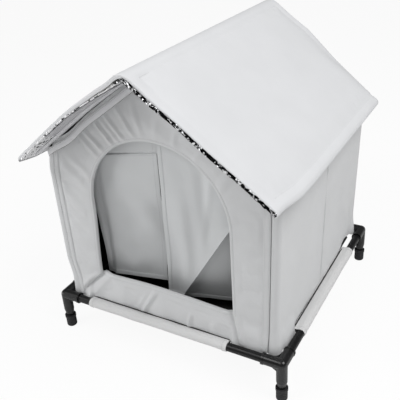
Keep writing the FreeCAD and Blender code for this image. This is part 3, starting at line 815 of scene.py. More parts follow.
@dataclass
class Finishes:
    """All finishes of the house, each made once."""

    def __post_init__(self) -> None:
        """Make the materials."""
        self.wall = OxfordCloth("polyester_oxford_wall", "#DBDCDD", "#CECFD0").build()
        self.roof = OxfordCloth("polyester_oxford_roof", "#E1E2E4", "#D5D6D8").build()
        self.flap = OxfordCloth("polyester_oxford_flap", "#D9DBDC", "#CACCCD").build()
        self.sleeve = OxfordCloth("polyester_oxford_sleeve", "#DFDFDF", "#D1D1D1").build()
        self.lining = OxfordCloth("polyester_taffeta_black", "#101011", "#1B1B1C", yarn=1.4).build()
        self.binding = WovenTape("nylon_grosgrain_grey", "#DADBDC", "#CDCECF", depth=0.15).build()
        # Light loop tape whose colour is pushed to near white as painted light, for the light that the roof
        # overhang keeps off the front left tape.
        self.loop = WovenTape("nylon_loop_tape_grey", "#FBFBFC", "#F2F2F4", sheen=0.5).build()
        self.hook = WovenTape("nylon_hook_tape_grey", "#ECECEE", "#DCDCDF", rib=2.0, nap=1.8).build()
        self.margin = WovenTape("nylon_margin_tape_grey", "#C6C6C9", "#B8B8BB", rib=2.4).build()
        self.thread = WovenTape("polyester_thread_grey", "#D2D3D4", "#BDBEBF", rib=0.8).build()
        # One foil in two copies: the left panel's is painted with bright reflections, the right panel's
        # with dark, shaded ones.
        self.foil = {
            Side.LEFT: CrinkledFoil("aluminised_film_bright", 0.15, bright="#FCFCFD", dark="#2C2C2F",
                                    facet=4.6, rough_low=0.35, rough_high=0.55).build(),
            Side.RIGHT: CrinkledFoil("aluminised_film_shaded", dark_share=0.72, facet=3.0).build(),
        }
        self.foam = Moulded("polyethylene_foam_white", "#E4E4E2", "#D3D3D0", 1.6, 0.35, 0.75, 0.92).build()
        self.plastic = Moulded("abs_black_moulded", "#070708", "#0E0E10", 1.2, 0.06, 0.22, 0.36,
                               coat=0.1).build()
        self.steel = Moulded("powder_coat_black", "#060607", "#0E0E10", 1.8, 0.08, 0.3, 0.46,
                             ior=1.42).build()
        self.rubber = Moulded("rubber_dark_grey", "#1B1B1D", "#28282B", 1.0, 0.15, 0.55, 0.74).build()


@dataclass(frozen=True)
class House:
    """Sizes in millimetres that the walls, the floor and the roof share."""

    half: float = 224.0
    core: float = 218.0
    foot: float = 86.0
    seam: float = 209.0
    ridge: float = 576.0
    seat: float = 4.64
    sag_place: float = -165.0
    sag_depth: float = 6.0
    sag_width: float = 27.0
    belly: float = 13.0
    leaning: float = 8.0
    flare_foot: float = 79.0
    flare_height: float = 60.0

    def top(self, x: Array) -> Array:
        """Height of the wall tops at a place across the house."""
        return self.ridge - self.seat - np.abs(x) * TAN

    def spread(self, points: Array) -> Array:
        """Slack walls as they stand: the left one bellies out, the right one leans out to its top.

        Args:
            points: Places on the walls in millimetres.

        Returns:
            The places moved outward beside the doorway, with their tops kept below the roof.
        """
        x, z = points[..., 0], points[..., 2]
        belly = self.belly * ease(self.foot, 170.0, z) * (1.0 - 0.5 * ease(360.0, 410.0, z))
        leaning = self.leaning * np.clip((z - self.foot) / (self.top(self.half) - self.foot), 0.0, 1.0)
        out = np.where(x < 0.0, belly, leaning) * ease(146.0, self.seam, np.abs(x))
        moved = np.array(points, float)
        moved[..., 0] += np.sign(x) * out
        moved[..., 2] -= TAN * out * ease(330.0, 405.0, z)
        return moved

    def sag(self, x: Array) -> Array:
        """How far the front wall's top hangs below the left roof panel."""
        return self.sag_depth * bell(np.asarray(x) - self.sag_place, self.sag_width)

    def gable_size(self) -> tuple[float, float]:
        """Width and height in metres of a flat gable wall between its seams."""
        return 2.0 * self.seam * MM, (float(self.top(0.0)) - self.foot) * MM

    def gable_area(self) -> float:
        """Area in square metres of a flat gable wall without a doorway."""
        upright = 2.0 * self.seam * (float(self.top(self.seam)) - self.foot)
        return (upright + self.seam * self.seam * TAN) * MM * MM

    def flare(self, z: Array) -> Array:
        """Share of the outward flare of a lower edge at a height."""
        return 1.0 - ease(0.0, self.flare_height, z - self.flare_foot)

    def layer(
        self,
        name: str,
        places: Array,
        flat: Array,
        thickness: float,
        closed: bool = False,
        toward: tuple[float, float, float] = Pattern.INSIDE,
    ) -> Pattern:
        """Layer of a wall, spread as the walls stand.

        Args:
            name: Name of the piece.
            places: Grid of places on the face that shows.
            flat: Grid of flat places.
            thickness: Distance to the other face.
            closed: True where the last column meets the first.
            toward: Place that the other face lies towards.

        Returns:
            The layer.
        """
        layer = Pattern(name)
        layer.add_shell(self.spread(places), flat, thickness, closed, toward)
        return layer


@dataclass
class Studio:
    """Camera at the photograph's angle, plain floor and soft light."""

    eye: tuple[float, float, float] = (534.5, -967.65, 837.96)
    azimuth: float = 30.9
    elevation: float = 28.68
    roll: float = -4.02
    lens: float = 54.54
    sky: float = 0.22
    gloss: float = 0.2
    key: float = 38.0
    front: float = 19.0
    low: float = 8.8
    key_place: tuple[float, float, float] = (1.44, -0.24, 2.2)
    front_place: tuple[float, float, float] = (-0.95, -1.42, 2.15)
    low_place: tuple[float, float, float] = (-1.75, -1.25, 0.4)
    floor_white: float = 0.93
    floor_reach: float = 40000.0

    def camera(self) -> None:
        """Make the camera."""
        turn, rise, tilt = (math.radians(a) for a in (self.azimuth, self.elevation, self.roll))
        level = math.cos(rise)
        back = np.array([math.sin(turn) * level, -math.cos(turn) * level, math.sin(rise)])
        right = np.cross(-back, UP)
        right /= np.linalg.norm(right)
        up = np.cross(right, -back)
        across = right * math.cos(tilt) + up * math.sin(tilt)
        upward = -right * math.sin(tilt) + up * math.cos(tilt)
        lens = bpy.data.cameras.new("camera")
        lens.lens = self.lens
        lens.sensor_width = 36.0
        lens.clip_start, lens.clip_end = 0.01, 50.0
        camera = bpy.data.objects.new("camera", lens)
        bpy.context.scene.collection.objects.link(camera)
        camera.matrix_world = self.stance(across, upward, back, np.array(self.eye) * MM)
        bpy.context.scene.camera = camera

    @staticmethod
    def stance(right: Array, up: Array, back: Array, place: Array) -> Matrix:
        """Matrix of an object that looks away from back, with its right and up directions."""
        rows = np.stack([right, up, back, place], axis=1)
        return Matrix(np.vstack([rows, [0.0, 0.0, 0.0, 1.0]]).tolist())

    def floor(self) -> None:
        """Make the pale floor, which stays near white and keeps a faint shadow."""
        material, tree = new_material("studio_paper_white")
        path = add_node(tree, "LightPath")
        seen = path.outputs["Is Camera Ray"]
        share = add_node(tree, "MapRange", {0: seen, 3: 0.0, 4: self.floor_white}).outputs[0]
        matt = add_node(tree, "BsdfDiffuse", {"Color": linear("#F4F4F4")})
        white = add_node(tree, "Emission", {"Color": linear("#FFFFFF"), "Strength": 1.0})
        both = add_node(tree, "MixShader", {0: share, 1: matt.outputs[0], 2: white.outputs[0]})
        add_node(tree, "OutputMaterial", {"Surface": both.outputs[0]})
        ends = np.linspace(-self.floor_reach, self.floor_reach, 5)
        sheet = Pattern("studio_floor")
        sheet.add_grid(spots(ends[:, None], ends, -0.2), spots(ends[:, None], ends))
        sheet.write(material)

    def light(self) -> None:
        """Make the world and the lamps."""
        world = bpy.data.worlds.new("studio")
        world.use_nodes = True
        tree = world.node_tree
        tree.nodes.clear()
        path = add_node(tree, "LightPath")
        seen = add_node(tree, "Math",
                        {0: path.outputs["Is Camera Ray"], 1: path.outputs["Is Transmission Ray"]},
                        operation="MAXIMUM").outputs[0]
        glossy = path.outputs["Is Glossy Ray"]
        dim = add_node(tree, "MapRange", {0: glossy, 3: self.sky, 4: self.gloss}).outputs[0]
        strength = add_node(tree, "MapRange", {0: seen, 3: dim, 4: 1.0}).outputs[0]
        sky = add_node(tree, "Background", {"Color": linear("#FFFFFF"), "Strength": strength})
        add_node(tree, "OutputWorld", {"Surface": sky.outputs[0]})
        bpy.context.scene.world = world
        self.lamp("key_light", self.key_place, 1.3, self.key)
        self.lamp("front_light", self.front_place, 0.9, self.front)
        self.lamp("low_light", self.low_place, 0.8, self.low)

    @staticmethod
    def lamp(name: str, place: tuple[float, float, float], size: float, power: float) -> None:
        """Make a square soft lamp that faces the house.

        Args:
            name: Name of the lamp.
            place: Its place in metres.
            size: Its side in metres.
            power: Its power in watts.
        """
        data = bpy.data.lights.new(name, "AREA")
        data.size = size
        data.energy = power
        lamp = bpy.data.objects.new(name, data)
        bpy.context.scene.collection.objects.link(lamp)
        back = np.array(place) - np.array([0.0, 0.0, 0.3])
        back /= np.linalg.norm(back)
        right = np.cross(UP, back)
        right /= np.linalg.norm(right)
        lamp.matrix_world = Studio.stance(right, np.cross(back, right), back, np.array(place))

    def build(self) -> None:
        """Make the whole studio."""
        self.camera()
        self.floor()
        self.light()
        bpy.context.scene.view_settings.view_transform = "Standard"


@dataclass
class TubeFrame:
    """Moulded corners, rail tubes and foot caps, which keep their own meshes."""

    finish: Finishes

    def build(self) -> None:
        """Give the nodes their finishes."""
        for name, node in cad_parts.items():
            for start, material in (("corner_connector", self.finish.plastic),
                                    ("rail_tube", self.finish.steel),
                                    ("foot_cap", self.finish.rubber)):
                if name.startswith(start):
                    node.data.materials.clear()
                    node.data.materials.append(material)
                    log.info("%s dressed", name)


@dataclass
class RailSleeve:
    """Cloth sleeve round one rail, sewn to the floor behind it, with a turned hem at each end."""

    finish: Finishes
    name: str
    along_x: bool
    side: int
    low: float
    high: float
    seed: int
    axis: float = 240.0
    height: float = 80.0
    radius: float = 9.0
    seam_reach: float = 15.4
    seam_height: float = 5.2
    seam_row: tuple[float, float] = (-12.2, 7.15)
    hem_row: float = 8.2
    floor_slope: float = 0.229

    def section(self) -> Array:
        """Outline across the sleeve.

        Returns:
            Places as (out, up), from the seam round the rail and back.
        """
        foot = np.array([-self.seam_reach, self.seam_height])
        heading = math.atan2(foot[1], foot[0])
        open_angle = math.acos(self.radius / np.linalg.norm(foot))
        turn = np.linspace(heading - open_angle, heading + open_angle - math.tau, 30)
        circle = spots(np.cos(turn), np.sin(turn)) * self.radius
        begin = foot + np.array([0.0, 0.5])
        upper = begin + (circle[0] - begin) * np.linspace(0.0, 1.0, 7)[:-1, None]
        lower = circle[-1] + (foot - circle[-1]) * np.linspace(0.0, 1.0, 5)[1:-1, None]
        return np.concatenate([upper, circle, lower])

    def place(self, along: Number, out: Number, up: Number) -> Array:
        """Places in the house's frame.

        Args:
            along: Place along the rail.
            out: Distance out from its axis.
            up: Height above its axis.

        Returns:
            Places in millimetres.
        """
        across = self.side * (self.axis + out)
        flat = (along, across) if self.along_x else (across, along)
        return spots(*flat, self.height + up)

    def way(self, out: Number, up: Number) -> Array:
        """Direction out from the rail's axis and up."""
        return self.place(0.0, out, up) - self.place(0.0, 0.0, 0.0)

    def build(self) -> None:
        """Make the sleeve, its stitches and the black tape at the floor's edge, which also stands as
        painted shadow.
        """
        outline = self.section()
        along = np.linspace(self.low, self.high, 92)
        edge = np.minimum(along - self.low, self.high - along)[:, None]
        rounds = run_length(np.concatenate([outline, outline[:1]]))
        swell = 0.28 * undulate(along[:, None], rounds[None, :-1] * 1.5, 46.0, self.seed)
        swell += 0.5 * (1.0 - ease(6.5, 9.0, edge)) - 0.4 * bell(edge - 9.5, 1.6)
        swell -= 0.7 * bell(edge, 2.0)
        away = np.linalg.norm(outline, axis=1)
        grow = 1.0 + swell * np.clip(1.6 - away / self.radius * 0.6, 0.0, 1.0) / self.radius
        lift = 1.2 * (1.0 - ease(8.0, 60.0, edge)) * ease(9.5, 15.0, away)
        points = self.place(along[:, None], outline[:, 0] * grow, outline[:, 1] * grow + lift)
        sleeve = Pattern("rail_sleeve_cloth_" + self.name)
        axis = self.place((self.low + self.high) / 2.0, 0.0, 0.0)
        sleeve.add_shell(points, spots(along[:, None], rounds), 0.9, closed=True, toward=tuple(axis))
        piece = settle(sleeve, self.finish.sleeve, "house", "sleeve_cloth", "rail_sleeve_" + self.name)
        thread = self.stitches(along)
        self.edge_tape()

    def stitches(self, along: Array) -> Piece:
        """Make the stitches of the long seam and of the hem at each end.

        Args:
            along: Places along the sleeve.

        Returns:
            The stitches.
        """
        thread = Pattern("rail_sleeve_stitches_" + self.name)
        thread.add_stitches(self.place(along[2:-2], *self.seam_row), UP)
        turn = np.radians(np.linspace(150.0, -150.0, 40))
        ring = np.array([np.cos(turn), np.sin(turn)]) * (self.radius + 0.45)
        for end in (self.low + self.hem_row, self.high - self.hem_row):
            thread.add_stitches(self.place(end, *ring), self.way(np.cos(turn), np.sin(turn)), pitch=3.4)
        return settle(thread, self.finish.thread, "house", "sleeve_cloth")

    def edge_tape(self) -> None:
        """Make the black tape along the floor's edge above the sleeve, which also stands as painted shadow
        below the wall's foot.
        """
        tape = Pattern("floor_edge_tape_" + self.name)
        middle = -10.2 if self.name == "front" else -13.6
        height = 6.35 + self.floor_slope * (middle + self.seam_reach)
        path = self.place(np.linspace(self.low + 1.0, self.high - 1.0, 60), middle, height)
        slope = self.way(1.0, self.floor_slope)
        tape.add_ribbon(path, slope / np.linalg.norm(slope), UP, 3.4, 0.6)
        # Black lining cloth: partly the dark floor edge, partly painted shadow in the gap below the wall's
        # foot.
        settle(tape, self.finish.lining, "house", "lining_cloth")


@dataclass
class FloorCloth:
    """Floor sheet stretched between the sleeves, with slanted corners and a slight hollow."""

    house: House
    finish: Finishes
    corner: float = 34.0
    level: float = 86.0
    hollow: float = 2.5

    def build(self) -> None:
        """Make the sheet."""
        reach = self.house.half - 0.6
        y = np.linspace(-reach, reach, 91)[:, None]
        half = np.minimum(reach, reach - self.corner + (reach - np.abs(y)))
        x = half * np.linspace(-1.0, 1.0, 91)
        sink = self.hollow * (1.0 - (x / reach) ** 2) * (1.0 - (y / reach) ** 2)
        z = self.level - 0.2 - sink + 0.25 * undulate(x, y + 0.0 * x, 90.0, 5)
        points = spots(x, y, z)
        cloth = Pattern("floor_cloth")
        cloth.add_shell(points, points[:, :, :2], 1.6, toward=(0.0, 0.0, 0.0))
        piece = settle(cloth, self.finish.lining, "house", "lining_cloth", "floor_sheet")


@dataclass
class FrontWall:
    """Front wall: cloth round an arched doorway, its turned-in facing, foam and lining."""

    house: House
    finish: Finishes
    door_half: float = 140.0
    sill: float = 149.0
    sill_bow: float = 3.5
    sill_sag: float = 3.0
    left_slack: float = 0.06
    spring: float = 311.0
    bottom_steps: int = 52
    side_steps: int = 58
    arch_steps: int = 176
    roll: float = 3.4
    slack_run: ClothRun = ClothRun(pressure=0.6, slack=0.002, cap=2.0)

    CREASES = tuple(Crease((a, b), (c, d), width, height) for a, b, c, d, width, height in (
        (-92.0, 500.0, -42.0, 437.0, 4.4, 4.0), (-101.0, 490.0, -54.0, 432.0, 3.6, 2.6),
        (-114.0, 484.0, -66.0, 424.0, 4.2, 4.2), (-142.0, 462.0, -88.0, 411.0, 5.0, 4.6),
        (-150.0, 446.0, -104.0, 398.0, 4.0, 2.6), (-174.0, 400.0, -124.0, 349.0, 8.0, 3.8),
        (-200.0, 396.0, -150.0, 340.0, 10.0, 2.8), (-208.0, 338.0, -160.0, 285.0, 11.0, 3.6),
        (-206.0, 300.0, -158.0, 250.0, 10.0, 2.6), (-62.0, 516.0, -28.0, 456.0, 4.4, 3.4),
        (-30.0, 536.0, -12.0, 459.0, 6.0, 2.6), (22.0, 528.0, 14.0, 459.0, 6.0, 1.4),
        (58.0, 506.0, 46.0, 450.0, 5.0, 1.8), (108.0, 470.0, 82.0, 428.0, 6.0, 1.6),
        (152.0, 424.0, 118.0, 384.0, 8.0, 1.8), (-202.0, 262.0, -156.0, 206.0, 13.0, 2.6),
        (-204.0, 200.0, -152.0, 150.0, 11.0, 2.4), (182.0, 350.0, 174.0, 180.0, 16.0, 2.2),
        (-22.0, 142.0, -58.0, 84.0, 5.0, 5.6), (-38.0, 138.0, -68.0, 90.0, 4.5, 3.0),
        (-120.0, 136.0, -160.0, 88.0, 14.0, -4.0), (-88.0, 134.0, -112.0, 92.0, 14.0, 2.4),
        (54.0, 118.0, 48.0, 84.0, 4.0, 5.0), (100.0, 112.0, 104.0, 90.0, 7.0, 3.0),
        (145.0, 146.0, 165.0, 88.0, 5.0, 4.4),
    ))

    def loop(self, half: float, low: float, arch: Array) -> Array:
        """Closed outline from the middle of its lower edge.

        Args:
            half: Half width.
            low: Height of the lower edge.
            arch: Places of the arch from right to left.

        Returns:
            Places as (x, z).
        """
        right = spots(np.linspace(0.0, half, self.bottom_steps, endpoint=False), low)
        post = spots(half, np.linspace(low, self.spring, self.side_steps, endpoint=False))
        mirror = np.array([-1.0, 1.0])
        return np.concatenate([right, post, arch, post[::-1] * mirror, right[:0:-1] * mirror])

    def door_loop(self, grow: float) -> Array:
        """Outline of the doorway.

        Args:
            grow: Distance outside the doorway's edge.

        Returns:
            Places as (x, z).
        """
        half = self.door_half + grow
        turn = np.linspace(0.0, math.pi, self.arch_steps + 1)
        arch = spots(half * np.cos(turn), self.spring + half * np.sin(turn))
        loop = self.loop(half, self.sill - grow, arch)
        low = 1.0 - ease(self.sill, self.spring, loop[:, 1])
        bow = self.sill_bow * bell(loop[:, 0] + 30.0, 70.0)
        bow = bow - self.sill_sag * ease(40.0, self.door_half, loop[:, 0])
        loop[:, 1] += bow * low**3
        loop[:, 0] *= 1.0 + self.left_slack * low * (loop[:, 0] < 0.0)
        return loop

    def outer_loop(self, half: float, foot: float, clear: float) -> Array:
        """Outline of the wall in the same steps as the doorway's.

        Args:
            half: Half width.
            foot: Height of the lower edge.
            clear: Distance below the roof.

        Returns:
            Places as (x, z).
        """
        turn = np.linspace(0.0, math.pi, self.arch_steps + 1)
        rise = float(self.house.top(0.0)) - clear - self.spring
        level = np.abs(np.cos(turn))
        reach = np.minimum(rise / (np.sin(turn) + TAN * level), half / np.maximum(level, 1e-6))
        loop = self.loop(half, foot, spots(reach * np.cos(turn), self.spring + reach * np.sin(turn)))
        roofward = ease(self.spring, float(self.house.top(half)), loop[:, 1])
        loop[:, 1] -= self.house.sag(loop[:, 0]) * roofward
        return loop

    def lean(self, x: Array, z: Array) -> Array:
        """Outward lean of the sill panel, whose ends are tucked behind the posts along its mitres.

        Args:
            x: Places across.
            z: Heights.

        Returns:
            Distances forward.
        """
        below = (self.sill - z) / (self.sill - self.house.foot)
        left = x < 0.0
        mitre = np.where(left, 148.0 + 61.0 * below, 139.0 + 18.0 * below)
        inner = mitre - np.abs(x)
        panel = ease(-1.0, 1.5, inner) * ease(-0.15, 0.02, below)
        tuck = np.where(left, 7.5 * (1.0 - ease(0.0, 28.0, inner)), 5.5 * (1.0 - ease(0.0, 14.0, inner)))
        ridge = 3.2 * bell(inner + 7.0, 6.0) * ease(-0.05, 0.3, below) * left
        return (panel * (4.0 * below - tuck) + ridge) * (1.0 - ease(190.0, 199.0, np.abs(x)))

    def foot_at(self, x: Array) -> Array:
        """Height of the cloth's lower edge: over the sleeve, lower beside the bare tube and corner."""
        return self.house.foot + 1.8 - self.bare(x) * (8.3 - 3.8 * self.corner(x)) + 0.5 * np.sin(x / 31.0)

    @staticmethod
    def bare(x: Array) -> Array:
        """1 where the rail below has no sleeve."""
        return ease(136.0, 142.0, x) + ease(174.0, 180.0, -x)

    @staticmethod
    def corner(x: Array) -> Array:
        """1 above the moulded corner."""
        return ease(199.0, 205.0, np.abs(x))

    def skirt(self, x: Array, z: Array) -> Array:
        """Outward flare of the lower edge, which closes the gap to the bare tube."""
        return self.bare(x) * (6.6 - 1.6 * self.corner(x)) * self.house.flare(z)

    def ring(self, grows: Sequence[float], outer: Array, steps: int) -> Array:
        """Rings of (x, z) from the doorway to an outer loop.

        Args:
            grows: Distances of the first rings from the doorway.
            outer: Outer loop.
            steps: Number of rings beyond the last of those.

        Returns:
            Grid of flat places.
        """
        rings = [self.door_loop(grow) for grow in grows]
        last = rings[-1]
        for step in range(1, steps + 1):
            rings.append(last + (outer - last) * step / steps)
        return np.stack(rings)

    def cloth(self) -> Piece:
        """Make the outer cloth.

        Returns:
            The cloth.
        """
        turn = np.linspace(math.pi / 2.0, 0.0, 7)
        grows = [self.roll * (1.0 - math.sin(a)) for a in turn] + [5.0, 7.5, 10.5, 14.0, 18.0]
        steps = 26
        outer = self.outer_loop(self.house.seam - 0.4, self.house.foot, 0.8)
        low = outer[:, 1] < self.house.foot + 1.0
        outer[low, 1] = self.foot_at(outer[low, 0])
        tuck = ease(self.house.seam - 8.0, self.house.seam - 1.0, np.abs(outer[:, 0]))
        tuck = tuck * (1.0 - ease(0.0, 16.0, outer[:, 1] - self.house.foot))
        outer[:, 0] += np.sign(outer[:, 0]) * 1.6 * tuck
        flat = self.ring(grows, outer, steps)
        x, z = flat[:, :, 0], flat[:, :, 1]
        door = np.array(list(grows) + [40.0] * steps)[:, None]
        rolled = [self.roll * (1.0 - math.cos(a)) for a in turn] + [0.0] * (5 + steps)
        bound = ease(self.house.seam - 19.0, self.house.seam - 13.0, np.abs(x))
        lift = creased(self.CREASES, x, z) * ease(1.0, 14.0, door) * (1.0 - bound)
        lift = lift - np.array(rolled)[:, None] - 0.5 * bell(door - 6.0, 1.6) - 0.8 * bound
        slack = 0.8 * undulate(x, z, 95.0, 11) + 0.45 * undulate(x, z, 40.0, 12)
        lift = lift + slack * ease(10.0, 30.0, door) * (1.0 - bound) + self.lean(x, z) + self.skirt(x, z)
        edge = np.concatenate([np.zeros(len(grows)), np.arange(1, steps + 1) / steps])[:, None]
        lift = lift - 1.7 * ease(0.93, 1.0, edge) * (np.abs(x) > self.house.seam - 3.0)
        out = np.maximum(lift, self.lean(x, z) - 2.4 - np.array(rolled)[:, None])
        points = self.house.spread(spots(x, -(self.house.half + 0.9 + out), z))
        held = (door < 10.0) | (np.abs(x) > self.house.seam - 14.0) | (z > self.house.top(x) - 24.0)
        held |= edge > 0.98
        still = points
        points = self.slack_run.fill_out(points, held, closed=True)
        points[:, :, 1] = np.minimum(points[:, :, 1], still[:, :, 1] + 0.8)
        cloth = Pattern("front_wall_cloth")
        cloth.add_shell(points, wrapped(flat), 0.8, closed=True)
        return settle(cloth, self.finish.wall, "house", "wall_cloth", "front_wall_cover")

    def facing(self) -> Piece:
        """Make the cloth turned in round the doorway and sewn down inside.

        Returns:
            The facing.
        """
        front, back = -self.house.half, -self.house.core
        section = [(0.9, front + 2.2), (0.25, front + 2.9), (0.1, front + 3.6),
                   (0.1, back - 1.0), (0.7, back + 0.2), (2.0, back + 0.9),
                   (6.0, back + 1.1), (10.5, back + 1.0), (11.4, back + 0.6), (13.0, back + 0.9)]
        loops = np.stack([self.door_loop(grow) for grow, _ in section])
        inner = self.lean(loops[:, :, 0], loops[:, :, 1])
        y = np.array([place for _, place in section])[:, None] - inner
        points = spots(loops[:, :, 0], y, loops[:, :, 1])
        strip = Pattern("doorway_facing_cloth")
        girth = run_length(np.array(section))
        around = run_length(np.concatenate([loops[0], loops[0][:1]]))
        flat = spots(around, girth[:, None])
        strip.add_layer(points, points + 0.6 * grid_normals(points, True), flat, outward=False, closed=True)
        return settle(strip, self.finish.wall, "house", "wall_cloth", "doorway_facing")

    def foam(self) -> Piece:
        """Make the stiffening foam behind the cloth.

        Returns:
            The foam.
        """
        outer = self.outer_loop(self.house.seam - 2.0, self.house.foot + 1.0, 2.4)
        flat = self.ring((3.2, 6.0), outer, 16)
        x, z = flat[:, :, 0], flat[:, :, 1]
        y = -(self.house.half - 2.3 + np.minimum(self.lean(x, z), 0.8))
        board = self.house.layer("front_wall_foam", spots(x, y, z), wrapped(flat), 2.6, closed=True)
        piece = settle(board, self.finish.foam, "house", "stiffener_foam", "front_wall_board")
        return piece

    def lining(self) -> Piece:
        """Make the dark lining on the inside.

        Returns:
            The lining.
        """
        outer = self.outer_loop(self.house.seam + 9.2, self.house.foot + 0.1, 1.6)
        flat = self.ring((3.0, 8.0, 14.0), outer, 16)
        x, z = flat[:, :, 0], flat[:, :, 1]
        y = -(self.house.core + 0.1 + np.minimum(self.lean(x, z), 0.4)) + 0.15 * undulate(x, z, 60.0, 21)
        cloth = self.house.layer("front_wall_lining_cloth", spots(x, y, z), wrapped(flat), 0.6,
                                 closed=True, toward=(0.0, -900.0, 300.0))
        return settle(cloth, self.finish.lining, "house", "lining_cloth", "front_wall_lining")

    def stitches(self) -> Piece:
        """Make the rows of stitches that hold the rolled edge and the facing's inner edge.

        Returns:
            The stitches.
        """
        rows = []
        for grow, place, off in ((6.0, -self.house.half - 0.7, -1.0), (11.2, -self.house.core + 1.1, 1.0)):
            loop = self.door_loop(grow)
            loop = np.concatenate([loop, loop[:1]])
            lift = self.lean(loop[:, 0], loop[:, 1])
            if off < 0.0:
                lift = lift + creased(self.CREASES, loop[:, 0], loop[:, 1]) * float(ease(1.0, 14.0, grow))
            rows.append((spots(loop[:, 0], place - lift, loop[:, 1]), np.array([0.0, off, 0.0])))
        return sew("doorway_stitches", self.finish.thread, "house", "wall_cloth", rows, radius=0.35)

    def build(self) -> None:
        """Make the wall."""
        cloth, facing, foam, lining = self.cloth(), self.facing(), self.foam(), self.lining()
        thread = self.stitches()
        size = self.house.gable_size()
        door = 2.0 * self.door_half * (self.spring - self.sill) + math.pi / 2.0 * self.door_half**2
        area = self.house.gable_area() - door * MM * MM
        length = float(run_length(np.concatenate([self.door_loop(0.0), self.door_loop(0.0)[:1]]))[-1])


@dataclass
class BackWall:
    """Back wall: plain cloth, foam and lining below the back gable."""

    house: House
    finish: Finishes

    def grid(self, half: float, foot: float, clear: float, columns: int, rows: int) -> tuple[Array, Array]:
        """Flat places (x, z) over the gable.

        Args:
            half: Half width.
            foot: Lower edge.
            clear: Distance of the upper edge below the roof.
            columns: Number of places across.
            rows: Number of places up.

        Returns:
            Grids of x and z.
        """
        x = np.linspace(-half, half, columns)[None, :]
        top = self.house.top(x) - clear
        share = np.linspace(0.0, 1.0, rows)[:, None]
        return x + 0.0 * share, foot + (top - foot) * share

    def build(self) -> None:
        """Make the wall."""
        x, z = self.grid(self.house.seam - 0.4, self.house.foot - 1.5, 0.8, 101, 101)
        lift = 0.9 * undulate(x, z, 130.0, 31) + 0.35 * undulate(x, z, 45.0, 32)
        lift += creased((Crease((-190.0, 110.0), (-120.0, 200.0), 14.0, 2.0),
                         Crease((60.0, 500.0), (110.0, 380.0), 12.0, 1.8),
                         Crease((-30.0, 520.0), (-60.0, 400.0), 12.0, 1.6),
                         Crease((185.0, 120.0), (120.0, 190.0), 13.0, 1.8)), x, z)
        edge = self.house.seam - np.abs(x)
        lift = np.where(lift < 0.0, 0.3 * np.tanh(lift / 0.3), lift) + 0.2
        lift = lift * ease(0.0, 30.0, edge) - 0.9 * (1.0 - ease(0.0, 3.5, edge))
        points = spots(x, self.house.half - 0.1 + lift, z)
        cloth = self.house.layer("back_wall_cloth", points, spots(x, z), 0.8)
        outer = settle(cloth, self.finish.wall, "house", "wall_cloth", "back_wall_cover")
        x, z = self.grid(self.house.seam - 2.0, self.house.foot + 1.0, 2.4, 25, 25)
        board = self.house.layer("back_wall_foam", spots(x, self.house.half - 1.6, z), spots(x, z), 3.4)
        foam = settle(board, self.finish.foam, "house", "stiffener_foam", "back_wall_board")
        x, z = self.grid(self.house.seam + 9.2, self.house.foot + 0.1, 1.6, 61, 61)
        y = self.house.core + 0.1 - 0.2 * undulate(x, z, 60.0, 33)
        inner = self.house.layer("back_wall_lining_cloth", spots(x, y, z), spots(x, z), 0.6,
                                 toward=(0.0, 900.0, 300.0))
        lining = settle(inner, self.finish.lining, "house", "lining_cloth", "back_wall_lining")
        for piece in (outer, lining):
            self.house.gable_size()
            self.house.gable_area()


